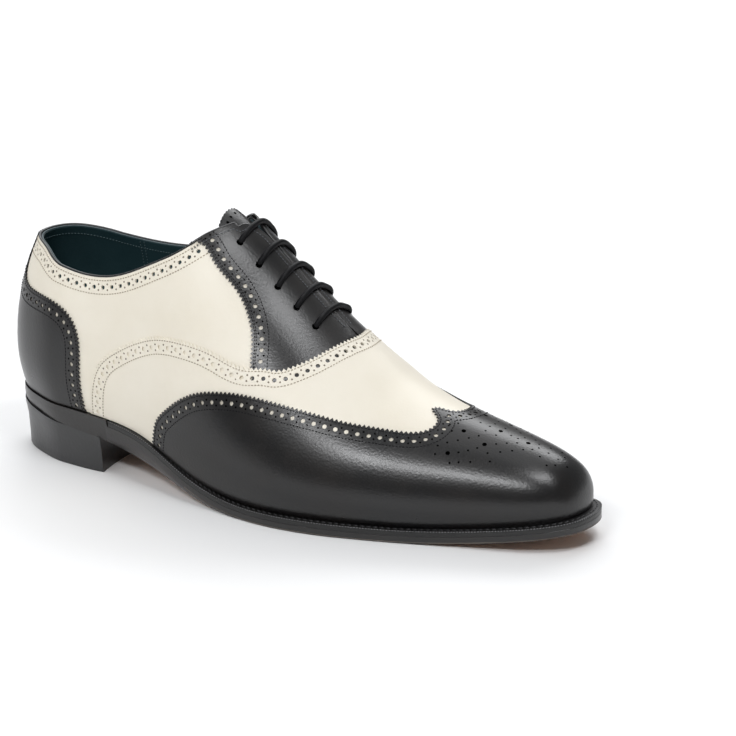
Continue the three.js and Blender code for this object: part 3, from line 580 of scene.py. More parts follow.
@dataclass
class SurfacePath:
    """A line on the last, whose right-hand side, seen from outside, is the panel's."""

    chart: Chart
    uv: Array

    @classmethod
    def through(cls, chart: Chart, points: Sequence[tuple[float, float]] | Array) -> SurfacePath:
        """A smooth line through chart coordinates.

        Args:
            chart: the chart.
            points: the coordinates to pass through.

        Returns:
            The dense line.
        """
        uv = np.asarray(points, dtype=float)
        space = chart.surface(uv[:, 0], uv[:, 1])
        way = way_along(space)
        step = 0.5
        steps = np.linspace(0, way[-1], max(int(way[-1] / step), 8))
        wanted = np.stack([Column(way, space[:, k], False)(steps) for k in range(3)], axis=1)
        guess = [np.interp(steps, way, uv[:, k]) for k in range(2)]
        u, v = chart.locate(wanted, *guess)
        u[[0, -1]], v[[0, -1]] = uv[[0, -1], 0], uv[[0, -1], 1]
        return cls(chart, pairs(u, v))

    def space(self, offset: float = 0.0) -> Array:
        """The line's points, a distance off the last."""
        return self.chart.point(self.uv[:, 0], self.uv[:, 1], np.full(len(self.uv), offset))

    def way(self) -> Array:
        """Distance along the line of each point."""
        return way_along(self.space())

    def spaced(self, pitch: float, start: float = 0.0, end: float = 0.0) -> SurfacePath:
        """The line as points a near-equal pitch apart.

        Args:
            pitch: wanted distance between points.
            start: distance left free at the start.
            end: distance left free at the end.

        Returns:
            The new line.
        """
        way = self.way()
        span = way[-1] - start - end
        count = max(int(round(span / pitch)), 1)
        wanted = start + np.linspace(0, span, count + 1)
        uv = np.stack([np.interp(wanted, way, self.uv[:, k]) for k in range(2)], axis=1)
        return SurfacePath(self.chart, uv)

    def inward(self) -> Array:
        """Directions towards the line's right-hand side, along the surface."""
        tangent = np.gradient(self.space(), axis=0)
        normal = self.chart.normal(self.uv[:, 0], self.uv[:, 1])
        right = np.cross(tangent, normal)
        return right / np.maximum(np.linalg.norm(right, axis=1, keepdims=True), 1e-9)

    def shifted(self, distance: float) -> SurfacePath:
        """The line moved to its right, without the loops that tight corners would give."""
        step = 0.7
        kept_share = 0.94
        rows = self.spaced(step)
        base = rows.space()
        target = base + rows.inward() * distance
        u, v = self.chart.locate(target, rows.uv[:, 0], rows.uv[:, 1])
        moved = self.chart.surface(u, v)
        away = np.linalg.norm(moved[:, None] - base[None], axis=2).min(axis=1)
        keep = away > abs(distance) * kept_share
        return SurfacePath(self.chart, pairs(u, v)[keep])

    def pinked(self, pitch: float, depth: float) -> Array:
        """The line cut to pointed teeth.

        Args:
            pitch: distance between teeth.
            depth: how deep the cuts go.

        Returns:
            Chart coordinates of tips and valleys in turn.
        """
        rows = self.spaced(pitch / 2)
        reach = np.where(np.arange(len(rows.uv)) % 2 == 0, 0.0, depth)
        target = rows.space() + rows.inward() * reach[:, None]
        u, v = self.chart.locate(target, rows.uv[:, 0], rows.uv[:, 1])
        u[0], v[0] = rows.uv[0]
        u[-1], v[-1] = rows.uv[-1]
        return pairs(u, v)

    def mirrored(self) -> SurfacePath:
        """The same line on the other side of the shoe."""
        flip = (1, -1) if isinstance(self.chart, ToeChart) else (-1, 1)
        return SurfacePath(self.chart, (self.uv * flip)[::-1])


def ring_faces(rings: int, sides: int) -> list[tuple[int, ...]]:
    """Faces between closed rings of points that follow one another."""
    faces: list[tuple[int, ...]] = []
    for i in range(rings - 1):
        for j in range(sides):
            k = (j + 1) % sides
            faces.append((i * sides + j, (i + 1) * sides + j, (i + 1) * sides + k, i * sides + k))
    return faces


def end_faces(rings: int, sides: int) -> list[tuple[int, ...]]:
    """The two faces that close the first ring and the last one."""
    return [tuple(range(sides)), tuple((rings - 1) * sides + j for j in reversed(range(sides)))]


def turn_outward(mesh: bpy.types.Mesh) -> None:
    """Turns the faces of a closed mesh outward."""
    work = bmesh.new()
    work.from_mesh(mesh)
    bmesh.ops.recalc_face_normals(work, faces=work.faces)
    work.to_mesh(mesh)
    work.free()


def inside(points: Array, loop: Array) -> Array:
    """Tells which flat points lie inside a closed loop."""
    x, y = points[:, 0], points[:, 1]
    result = np.zeros(len(points), dtype=bool)
    for a, b in zip(loop, np.roll(loop, -1, axis=0)):
        crosses = (a[1] > y) != (b[1] > y)
        if not crosses.any():
            continue
        reach = a[0] + (y - a[1]) * (b[0] - a[0]) / (b[1] - a[1] if b[1] != a[1] else 1e-12)
        result ^= crosses & (x < reach)
    return result


def counter_clockwise(loop: Array) -> Array:
    """A flat closed loop, turned where it runs clockwise."""
    ahead = np.roll(loop, -1, axis=0)
    area = (loop[:, 0] * ahead[:, 1] - ahead[:, 0] * loop[:, 1]).sum()
    return loop if area > 0 else loop[::-1]


def link(mesh: bpy.types.Mesh, name: str) -> bpy.types.Object:
    """Puts a mesh in the scene as an object at the origin."""
    piece = bpy.data.objects.new(name, mesh)
    bpy.context.scene.collection.objects.link(piece)
    return piece


def finish_piece(
    piece: bpy.types.Object, replaces: tuple[str, ...] = (), sharp: float = 38.0
) -> bpy.types.Object:
    """Shades a piece, fastens it to the shoe and reports it.

    Args:
        piece: the finished object.
        replaces: solids that it stands for.
        sharp: angle in degrees from which an edge stays sharp.

    Returns:
        The same object.
    """
    mesh = piece.data
    mesh.shade_smooth()
    mesh.set_sharp_from_angle(angle=math.radians(sharp))
    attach(piece, BODY)
    if replaces:
        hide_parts(*replaces)
    LOG.info("%s: %d faces", piece.name, len(mesh.polygons))
    return piece


def mesh_of(name: str, points: Array, faces: Sequence[Sequence[int]]) -> bpy.types.Mesh:
    """Makes a mesh in metres from points in millimetres, with doubled points merged."""
    whole = [tuple(dict.fromkeys(int(i) for i in face)) for face in faces]
    mesh = bpy.data.meshes.new(name)
    whole = [face for face in whole if len(face) > 2]
    mesh.from_pydata([tuple(p) for p in np.asarray(points) * MM], [], whole)
    mesh.validate()
    work = bmesh.new()
    work.from_mesh(mesh)
    bmesh.ops.remove_doubles(work, verts=work.verts, dist=2e-6)
    work.to_mesh(mesh)
    work.free()
    mesh.validate()
    return mesh


@dataclass
class Panel:
    """A flat piece of leather on the last, with its outline and its punched holes cut out."""

    chart: Chart
    outline: Array
    low: Callable[[Array, Array], Array]
    high: Callable[[Array, Array], Array]
    grid: tuple[float, float] = (0.008, 0.05)
    holes: list[Array] = field(default_factory=list)

    def punch(self, path: SurfacePath, radius: float, sides: int = 10) -> None:
        """Adds a round hole at each point of a path."""
        u, v = path.uv[:, 0], path.uv[:, 1]
        centre = self.chart.surface(u, v)
        normal = self.chart.normal(u, v)
        first = np.cross(normal, np.array([0.31, 0.17, 0.93]))
        first /= np.linalg.norm(first, axis=1, keepdims=True)
        second = np.cross(normal, first)
        for i in range(len(u)):
            turn = np.arange(sides) * 2 * math.pi / sides
            spokes = np.cos(turn)[:, None] * first[i] + np.sin(turn)[:, None] * second[i]
            ring = centre[i] + radius * spokes
            hu, hv = self.chart.locate(ring, np.full(sides, u[i]), np.full(sides, v[i]))
            self.holes.append(pairs(hu, hv))

    def grid_points(self) -> Array:
        """Inner points of the panel, clear of its outline and holes."""
        low, high = self.outline.min(axis=0), self.outline.max(axis=0)
        u = np.arange(math.ceil(low[0] / self.grid[0]), high[0] / self.grid[0]) * self.grid[0]
        v = np.arange(math.ceil(low[1] / self.grid[1]), high[1] / self.grid[1]) * self.grid[1]
        points = np.stack(np.meshgrid(u, v, indexing="ij"), axis=-1).reshape(-1, 2)
        points = points[inside(points, self.outline)]
        scale = np.array(self.chart.SCALE)
        edge = np.concatenate([self.outline, *self.holes]) * scale
        order = np.argsort(edge[:, 0])
        edge = edge[order]
        keep = np.ones(len(points), dtype=bool)
        reach = 0.45
        for i, point in enumerate(points * scale):
            first, last = np.searchsorted(edge[:, 0], (point[0] - reach, point[0] + reach))
            near = edge[first:last]
            keep[i] = not len(near) or ((near - point) ** 2).sum(axis=1).min() > reach**2
        return points[keep]

    def build(self, name: str) -> bpy.types.Object:
        """Cuts and thickens the panel.

        Args:
            name: the piece's name.

        Returns:
            The closed piece.
        """
        scale = np.array(self.chart.SCALE)
        loops = [counter_clockwise(loop) for loop in (self.outline, *self.holes)]
        flat = np.concatenate([*loops, self.grid_points()])
        faces = []
        start = 0
        for loop in loops:
            faces.append(list(range(start, start + len(loop))))
            start += len(loop)
        coords = [Vector((float(x), float(y))) for x, y in flat * scale]
        cut = delaunay_2d_cdt(coords, [], faces, 0, 1e-5)
        uv = np.array([tuple(p) for p in cut[0]]) / scale
        middles = np.array([uv[list(f)].mean(axis=0) for f in cut[2]])
        kept = inside(middles, self.outline)
        for hole in self.holes:
            near = (np.abs(middles - hole.mean(axis=0)) < np.ptp(hole, axis=0)).all(axis=1)
            kept[near] &= ~inside(middles[near], hole)
        top = [f for f, keep in zip(cut[2], kept) if keep]
        u, v = uv[:, 0], uv[:, 1]
        high = self.chart.point(u, v, self.high(u, v))
        low = self.chart.point(u, v, self.low(u, v))
        count = len(uv)
        first = np.array(top)
        side_a = high[first[:, 1]] - high[first[:, 0]]
        side_b = high[first[:, 2]] - high[first[:, 0]]
        facing = (np.cross(side_a, side_b) * self.chart.normal(u, v)[first[:, 0]]).sum()
        if facing < 0:
            top = [tuple(reversed(f)) for f in top]
        owners: dict[tuple[int, int], int] = {}
        for f in top:
            for a, b in zip(f, (*f[1:], f[0])):
                owners[(a, b)] = 1
        walls = [(b, a, a + count, b + count) for a, b in owners if (b, a) not in owners]
        bottom = [tuple(i + count for i in reversed(f)) for f in top]
        return link(mesh_of(name, np.concatenate([high, low]), [*top, *bottom, *walls]), name)


def level(value: float) -> Callable[[Array, Array], Array]:
    """An offset that is the same all over a panel."""
    return lambda u, v: np.full(np.shape(u), value)


class Tree:
    """Shorthand for building a node tree of shader or geometry nodes."""

    def __init__(self, tree: bpy.types.NodeTree) -> None:
        """Keeps the tree."""
        self.tree = tree

    def add(
        self, kind: str, inputs: dict[str | int, object] | None = None, **settings: object
    ) -> bpy.types.Node:
        """Adds a node.

        Args:
            kind: the node's type.
            inputs: values or source sockets by input name or index.
            **settings: the node's properties.

        Returns:
            The node.
        """
        node = self.tree.nodes.new(kind)
        for key, value in settings.items():
            setattr(node, key, value)
        for key, value in (inputs or {}).items():
            socket = node.inputs[key]
            if isinstance(value, bpy.types.NodeSocket):
                self.tree.links.new(value, socket)
            else:
                socket.default_value = value
        return node


def new_group(
    name: str, kind: str, inputs: dict[str, tuple[str, object]], outputs: dict[str, str]
) -> tuple:
    """Makes an empty node group with named sockets.

    Args:
        name: the group's name.
        kind: the type of node tree.
        inputs: socket type and default by name.
        outputs: socket type by name.

    Returns:
        The tree, its shorthand, the group's input node and its output node.
    """
    tree = bpy.data.node_groups.new(name, kind)
    for label, (socket_type, default) in inputs.items():
        socket = tree.interface.new_socket(label, in_out="INPUT", socket_type=socket_type)
        if default is not None:
            socket.default_value = default
    for label, socket_type in outputs.items():
        tree.interface.new_socket(label, in_out="OUTPUT", socket_type=socket_type)
    kit = Tree(tree)
    return tree, kit, kit.add("NodeGroupInput"), kit.add("NodeGroupOutput")


def run_tree(
    name: str, mesh: bpy.types.Mesh, tree: bpy.types.NodeTree, values: dict[str, object]
) -> bpy.types.Object:
    """Runs a geometry tree on a mesh and keeps the result as a plain piece.

    Args:
        name: name of the new piece.
        mesh: what the tree works on.
        tree: the tree.
        values: the tree's inputs by name.

    Returns:
        The new piece.
    """
    carrier = link(mesh, name + "_carrier")
    modifier = carrier.modifiers.new("detail", "NODES")
    modifier.node_group = tree
    for item in tree.interface.items_tree:
        if item.item_type == "SOCKET" and item.in_out == "INPUT" and item.name in values:
            modifier[item.identifier] = values[item.name]
    evaluated = carrier.evaluated_get(bpy.context.evaluated_depsgraph_get())
    plain = bpy.data.meshes.new_from_object(evaluated)
    plain.name = name
    carrier.modifiers.clear()
    bpy.data.objects.remove(carrier)
    return link(plain, name)


class DetailTrees:
    """The geometry trees that repeat small pieces."""

    def __init__(self) -> None:
        """Builds each tree once."""
        self.stitches = self.stitch_tree()
        self.studs = self.stud_tree()

    @staticmethod
    def stitch_tree() -> bpy.types.NodeTree:
        """Rounded stitches laid end to end along lines."""
        tree, kit, given, out = new_group(
            "stitch_row",
            "GeometryNodeTree",
            {
                "Geometry": ("NodeSocketGeometry", None),
                "Pitch": ("NodeSocketFloat", 0.0012),
                "Length": ("NodeSocketFloat", 0.0009),
                "Radius": ("NodeSocketFloat", 0.0002),
                "Slant": ("NodeSocketFloat", 0.0),
                "Material": ("NodeSocketMaterial", None),
            },
            {"Geometry": "NodeSocketGeometry"},
        )
        line = kit.add("GeometryNodeMeshToCurve", {"Mesh": given.outputs["Geometry"]})
        steps = kit.add(
            "GeometryNodeResampleCurve",
            {"Curve": line.outputs["Curve"], "Length": given.outputs["Pitch"]},
            mode="LENGTH",
        )
        ball = kit.add("GeometryNodeMeshUVSphere", {"Segments": 6, "Rings": 4, "Radius": 1.0})
        half = kit.add("ShaderNodeMath", {0: given.outputs["Length"], 1: 0.5}, operation="MULTIPLY")
        size = kit.add(
            "ShaderNodeCombineXYZ",
            {"X": given.outputs["Radius"], "Y": given.outputs["Radius"], "Z": half.outputs[0]},
        )
        scaled = {"Geometry": ball.outputs["Mesh"], "Scale": size.outputs[0]}
        stitch = kit.add("GeometryNodeTransform", scaled)
        tangent = kit.add("GeometryNodeInputTangent")
        along = kit.add("FunctionNodeAlignRotationToVector", {"Vector": tangent.outputs[0]}, axis="Z")
        slant = kit.add("ShaderNodeCombineXYZ", {"X": given.outputs["Slant"]})
        turn = kit.add("FunctionNodeEulerToRotation", {"Euler": slant.outputs[0]})
        both = kit.add(
            "FunctionNodeRotateRotation",
            {"Rotation": along.outputs[0], "Rotate By": turn.outputs[0]},
            rotation_space="LOCAL",
        )
        copied = (steps.outputs["Curve"], stitch.outputs["Geometry"], both.outputs[0])
        DetailTrees.spread(kit, copied, given.outputs["Material"], out)
        return tree

    @staticmethod
    def stud_tree() -> bpy.types.NodeTree:
        """Small domes that stand on points, facing along each point's own direction."""
        tree, kit, given, out = new_group(
            "punch_marks",
            "GeometryNodeTree",
            {
                "Geometry": ("NodeSocketGeometry", None),
                "Radius": ("NodeSocketFloat", 0.0004),
                "Rise": ("NodeSocketFloat", 0.00005),
                "Material": ("NodeSocketMaterial", None),
            },
            {"Geometry": "NodeSocketGeometry"},
        )
        dome = kit.add("GeometryNodeMeshUVSphere", {"Segments": 8, "Rings": 4, "Radius": 1.0})
        size = kit.add(
            "ShaderNodeCombineXYZ",
            {"X": given.outputs["Radius"], "Y": given.outputs["Radius"], "Z": given.outputs["Rise"]},
        )
        scaled = {"Geometry": dome.outputs["Mesh"], "Scale": size.outputs[0]}
        mark = kit.add("GeometryNodeTransform", scaled)
        facing = kit.add("GeometryNodeInputNamedAttribute", {"Name": "facing"}, data_type="FLOAT_VECTOR")
        turn = kit.add("FunctionNodeAlignRotationToVector", {"Vector": facing.outputs[0]}, axis="Z")
        copied = (given.outputs["Geometry"], mark.outputs["Geometry"], turn.outputs[0])
        DetailTrees.spread(kit, copied, given.outputs["Material"], out)
        return tree

    @staticmethod
    def spread(kit: Tree, copied: tuple, material: bpy.types.NodeSocket, out: bpy.types.Node) -> None:
        """Ends a tree: copies a piece onto points, as real mesh with its material.

        Args:
            kit: the tree's shorthand.
            copied: sockets of the points, of the piece and of its rotation.
            material: socket of the material.
            out: the group's output node.
        """
        inputs = dict(zip(("Points", "Instance", "Rotation"), copied))
        copies = kit.add("GeometryNodeInstanceOnPoints", inputs)
        real = kit.add("GeometryNodeRealizeInstances", {"Geometry": copies.outputs["Instances"]})
        inputs = {"Geometry": real.outputs["Geometry"], "Material": material}
        finish = kit.add("GeometryNodeSetMaterial", inputs)
        kit.tree.links.new(finish.outputs["Geometry"], out.inputs["Geometry"])


@dataclass(frozen=True)
class Stitch:
    """Size of one kind of stitch, in millimetres."""

    pitch: float
    length: float
    radius: float
    slant: float = 0.0


FINE_STITCH = Stitch(pitch=1.5, length=1.12, radius=0.27)
WELT_STITCH = Stitch(pitch=2.9, length=2.5, radius=0.36, slant=0.28)


def stitch_rows(
    trees: DetailTrees, name: str, lines: Sequence[Array], kind: Stitch, material: bpy.types.Material
) -> bpy.types.Object:
    """Sews stitches along lines in space.

    Args:
        trees: the geometry trees.
        name: the piece's name.
        lines: points of each line, in millimetres.
        kind: the stitch's size.
        material: the thread's finish.

    Returns:
        The stitches as one piece.
    """
    points = np.concatenate(lines) * MM
    edges = []
    start = 0
    for line in lines:
        edges += [(start + i, start + i + 1) for i in range(len(line) - 1)]
        start += len(line)
    mesh = bpy.data.meshes.new(name)
    mesh.from_pydata([tuple(p) for p in points], edges, [])
    values = {
        "Pitch": kind.pitch * MM,
        "Length": kind.length * MM,
        "Radius": kind.radius * MM,
        "Slant": kind.slant,
        "Material": material,
    }
    return run_tree(name, mesh, trees.stitches, values)


def mark_points(
    trees: DetailTrees,
    name: str,
    points: Array,
    facing: Array,
    radius: float,
    rise: float,
    material: bpy.types.Material,
) -> bpy.types.Object:
    """Sets small round marks on points of a surface.

    Args:
        trees: the geometry trees.
        name: the piece's name.
        points: where, in millimetres.
        facing: outward direction at each point.
        radius: the marks' radius, in millimetres.
        rise: how far they stand up, in millimetres.
        material: their finish.

    Returns:
        The marks as one piece.
    """
    mesh = bpy.data.meshes.new(name)
    mesh.from_pydata([tuple(p) for p in points * MM], [], [])
    attribute = mesh.attributes.new("facing", "FLOAT_VECTOR", "POINT")
    attribute.data.foreach_set("vector", np.ascontiguousarray(facing, dtype=np.float32).ravel())
    values = {"Radius": radius * MM, "Rise": rise * MM, "Material": material}
    return run_tree(name, mesh, trees.studs, values)


def tube(name: str, line: Array, section: Array, up: Array) -> bpy.types.Object:
    """Sweeps a closed section along an open line.

    Args:
        name: the piece's name.
        line: points in millimetres.
        section: points across, as sideways and upwards, counter-clockwise seen along the line.
        up: upward direction, one for the whole line or one at each point.

    Returns:
        The closed tube, with a UV map that follows it.
    """
    tangent = np.gradient(line, axis=0)
    tangent /= np.linalg.norm(tangent, axis=1, keepdims=True)
    across = np.cross(tangent, up)
    across /= np.linalg.norm(across, axis=1, keepdims=True)
    rise = np.cross(across, tangent)
    rings = line[:, None] + across[:, None] * section[None, :, :1] + rise[:, None] * section[None, :, 1:]
    count, sides = rings.shape[:2]
    way = way_along(line)
    mesh = bpy.data.meshes.new(name)
    faces = ring_faces(count, sides) + end_faces(count, sides)
    mesh.from_pydata([tuple(p) for p in rings.reshape(-1, 3) * MM], [], faces)
    layer = mesh.uv_layers.new(name="UVMap")
    for polygon in mesh.polygons[:-2]:
        i, j = divmod(polygon.index, sides)
        corners = ((i, j), (i + 1, j), (i + 1, j + 1), (i, j + 1))
        for loop, (a, b) in zip(polygon.loop_indices, corners):
            layer.data[loop].uv = (way[a], b / sides)
    turn_outward(mesh)
    return link(mesh, name)


def oval(width: float, height: float, sides: int = 12) -> Array:
    """An oval section."""
    turn = np.arange(sides) * 2 * math.pi / sides
    return np.stack([np.cos(turn) * width / 2, np.sin(turn) * height / 2], axis=1)


@dataclass(frozen=True)
class Finish:
    """A leather, thread or edge finish.

    base and tint are linear colours that the surface varies between, and grain gives its size in cells for
    each millimetre and its depth in millimetres.
    """

    name: str
    base: tuple[float, float, float]
    tint: tuple[float, float, float]
    roughness: float
    rough_spread: float = 0.06
    grain: float = 1.1
    depth: float = 0.05
    patch: float = 0.03
    coat: float = 0.0
    specular: float = 0.5


class GrainGroup:
    """Shader group for leather grain: pebbled cells, soft creases and cloudy patches."""

    def __init__(self) -> None:
        """Builds the group once."""
        tree, kit, given, out = new_group(
            "leather_grain",
            "ShaderNodeTree",
            {
                "Grain": ("NodeSocketFloat", 1100.0),
                "Patch": ("NodeSocketFloat", 30.0),
                "Base": ("NodeSocketColor", (0.5, 0.5, 0.5, 1)),
                "Tint": ("NodeSocketColor", (0.4, 0.4, 0.4, 1)),
                "Roughness": ("NodeSocketFloat", 0.4),
                "Spread": ("NodeSocketFloat", 0.06),
            },
            {"Color": "NodeSocketColor", "Roughness": "NodeSocketFloat", "Height": "NodeSocketFloat"},
        )
        place = kit.add("ShaderNodeTexCoord")
        grained = {"Vector": place.outputs["Object"], "Scale": given.outputs["Grain"]}
        cells = kit.add("ShaderNodeTexVoronoi", {**grained, "Randomness": 1.0}, feature="SMOOTH_F1")
        fine = kit.add("ShaderNodeTexNoise", {**grained, "Detail": 3.0})
        patched = {"Vector": place.outputs["Object"], "Scale": given.outputs["Patch"]}
        patches = kit.add("ShaderNodeTexNoise", {**patched, "Detail": 4.0, "Roughness": 0.6})
        summed = {0: cells.outputs["Distance"], 1: fine.outputs["Fac"]}
        height = kit.add("ShaderNodeMath", summed, operation="ADD")
        share = kit.add(
            "ShaderNodeMapRange",
            {"Value": patches.outputs["Fac"], "From Min": 0.32, "From Max": 0.68},
        )
        color = kit.add(
            "ShaderNodeMix",
            {"Factor": share.outputs["Result"], 6: given.outputs["Base"], 7: given.outputs["Tint"]},
            data_type="RGBA",
        )
        product = {0: share.outputs["Result"], 1: given.outputs["Spread"]}
        swing = kit.add("ShaderNodeMath", product, operation="MULTIPLY")
        summed = {0: given.outputs["Roughness"], 1: swing.outputs[0]}
        rough = kit.add("ShaderNodeMath", summed, operation="ADD")
        kit.tree.links.new(color.outputs[2], out.inputs["Color"])
        kit.tree.links.new(rough.outputs[0], out.inputs["Roughness"])
        kit.tree.links.new(height.outputs[0], out.inputs["Height"])
        self.tree = tree


class Finishes:
    """Every finish of the shoe, as materials."""

    CREAM = Finish("cream_calf", (0.79, 0.735, 0.62), (0.825, 0.775, 0.67), 0.45, grain=0.9, depth=0.03)
    # Black calf: the brownish tint of its cloudy patches is a painted warm reflection of the studio.
    BLACK = Finish(
        "black_calf", (0.0022, 0.0026, 0.0034), (0.0056, 0.004, 0.0034),
        0.27, grain=1.0, depth=0.035, specular=0.6,
    )
    LINING = Finish(
        "lining_leather", (0.013, 0.038, 0.045), (0.02, 0.052, 0.06),
        0.48, grain=0.8, depth=0.04,
    )
    BINDING = Finish("binding_leather", (0.006, 0.007, 0.008), (0.010, 0.011, 0.012), 0.34, depth=0.03)
    # The lining's folded edge: lining leather painted lighter as a highlight along the fold.
    LINING_FOLD_HIGHLIGHT = Finish("lining_fold_painted_highlight", (0.06, 0.09, 0.10), (0.10, 0.135, 0.145), 0.5, depth=0.03)
    # Wheel marks: their pale grey is a painted glint on the impressed marks of the black welt.
    WHEEL_GLINT = Finish("wheel_marks_painted_glint", (0.10, 0.10, 0.105), (0.17, 0.17, 0.175), 0.4, depth=0.02)
    WELT = Finish(
        "welt_leather", (0.0045, 0.0045, 0.005), (0.009, 0.0085, 0.008),
        0.38, grain=1.5, specular=0.6,
    )
    SOLE_EDGE = Finish(
        "sole_edge", (0.0055, 0.005, 0.005), (0.011, 0.009, 0.008),
        0.3, grain=0.7, specular=0.7,
    )
    # Pale colour of the strip along the sole's lower edge: a painted highlight on the bevel.
    SOLE_RIM = Finish("painted_rim_highlight", (0.06, 0.05, 0.042), (0.14, 0.12, 0.10), 0.3, grain=0.7, specular=0.4)
    SOLE_BOTTOM = Finish("sole_leather", (0.24, 0.115, 0.055), (0.30, 0.15, 0.075), 0.45, grain=1.4)
    HEEL = Finish(
        "heel_stack", (0.007, 0.0074, 0.0082), (0.012, 0.012, 0.0132),
        0.34, grain=0.6, specular=0.8,
    )
    HEEL_TREAD = Finish(
        "heel_tread", (0.012, 0.012, 0.012), (0.02, 0.02, 0.02),
        0.7, grain=0.9, depth=0.1,
    )
    INSOLE = Finish("insole_leather", (0.03, 0.022, 0.016), (0.05, 0.038, 0.028), 0.6)
    BLACK_THREAD = Finish(
        "black_thread", (0.003, 0.003, 0.004), (0.007, 0.007, 0.008),
        0.5, depth=0.02, specular=0.2,
    )
    # Grey thread: black thread painted grey as the sheen it catches along the slit.
    GREY_THREAD = Finish("thread_painted_sheen", (0.06, 0.066, 0.074), (0.11, 0.12, 0.13), 0.45, depth=0.02)
    CREAM_THREAD = Finish("cream_thread", (0.30, 0.25, 0.18), (0.42, 0.36, 0.27), 0.6, depth=0.02)
    LINING_THREAD = Finish("lining_thread", (0.05, 0.085, 0.095), (0.08, 0.12, 0.13), 0.5, depth=0.02)
    WELT_THREAD = Finish("welt_thread", (0.02, 0.02, 0.021), (0.04, 0.04, 0.042), 0.4, depth=0.04)
    LACE = Finish(
        "waxed_cord", (0.004, 0.004, 0.0045), (0.008, 0.008, 0.009),
        0.45, depth=0.03, specular=0.12,
    )
    PIT = Finish(
        "punched_shadow", (0.0006, 0.0006, 0.0006), (0.001, 0.001, 0.001),
        0.9, depth=0.0, specular=0.0,
    )
    CREAM_PIT = Finish("cream_shadow", (0.16, 0.13, 0.095), (0.22, 0.18, 0.135), 0.8, depth=0.0)

    def __init__(self) -> None:
        """Starts with no material made."""
        self.grain = GrainGroup()
        self.made: dict[str, bpy.types.Material] = {}

    def get(self, finish: Finish) -> bpy.types.Material:
        """The finish's material, made when it is first asked for."""
        if finish.name not in self.made:
            self.made[finish.name] = self.make(finish)
        return self.made[finish.name]

    def make(self, finish: Finish) -> bpy.types.Material:
        """Builds a material from the grain group.

        Args:
            finish: its colours, gloss and grain.

        Returns:
            The material.
        """
        material = bpy.data.materials.new(finish.name)
        material.use_nodes = True
        kit = Tree(material.node_tree)
        kit.tree.nodes.clear()
        grain = kit.add("ShaderNodeGroup", node_tree=self.grain.tree)
        values = {
            "Grain": finish.grain / MM,
            "Patch": finish.patch / MM,
            "Base": (*finish.base, 1),
            "Tint": (*finish.tint, 1),
            "Roughness": finish.roughness,
            "Spread": finish.rough_spread,
        }
        for name, value in values.items():
            grain.inputs[name].default_value = value
        bump = kit.add(
            "ShaderNodeBump",
            {"Height": grain.outputs["Height"], "Strength": 1.0, "Distance": finish.depth * MM},
        )
        shader = kit.add(
            "ShaderNodeBsdfPrincipled",
            {
                "Base Color": grain.outputs["Color"],
                "Roughness": grain.outputs["Roughness"],
                "Normal": bump.outputs["Normal"],
                "Coat Weight": finish.coat,
                "Coat Roughness": 0.18,
                "Specular IOR Level": finish.specular,
            },
        )
        out = kit.add("ShaderNodeOutputMaterial", {"Surface": shader.outputs["BSDF"]})
        out.is_active_output = True
        material.diffuse_color = (*finish.base, 1)
        return material

    def paint(self, piece: bpy.types.Object, *finishes: Finish) -> bpy.types.Object:
        """Gives a piece its finishes, the first for all faces that name no other."""
        piece.data.materials.clear()
        for finish in finishes:
            piece.data.materials.append(self.get(finish))
        return piece


@dataclass
class Band:
    """A broguing band along a cut edge, in millimetres."""

    first_row: float = 1.75
    hole_row: float = 4.8
    second_row: float = 7.9
    hole_pitch: float = 5.0
    hole_radius: float = 1.02
    pin_radius: float = 0.46
    pin_spread: float = 1.3

    def centres(self, edge: SurfacePath) -> SurfacePath:
        """Middles of the large holes."""
        free = self.hole_pitch / 2
        return edge.shifted(self.hole_row).spaced(self.hole_pitch, free, free)

    def pins(self, edge: SurfacePath) -> list[SurfacePath]:
        """The small holes between the large ones, on both sides of their row."""
        middle = self.centres(edge)
        way = middle.way()
        halves = (way[1:] + way[:-1]) / 2
        uv = pairs(*(np.interp(halves, way, middle.uv[:, k]) for k in range(2)))
        between = SurfacePath(edge.chart, uv)
        rows = []
        for away in (self.hole_row - self.pin_spread, self.hole_row + self.pin_spread):
            target = between.space() + between.inward() * (away - self.hole_row)
            u, v = edge.chart.locate(target, between.uv[:, 0], between.uv[:, 1])
            rows.append(SurfacePath(edge.chart, pairs(u, v)))
        return rows


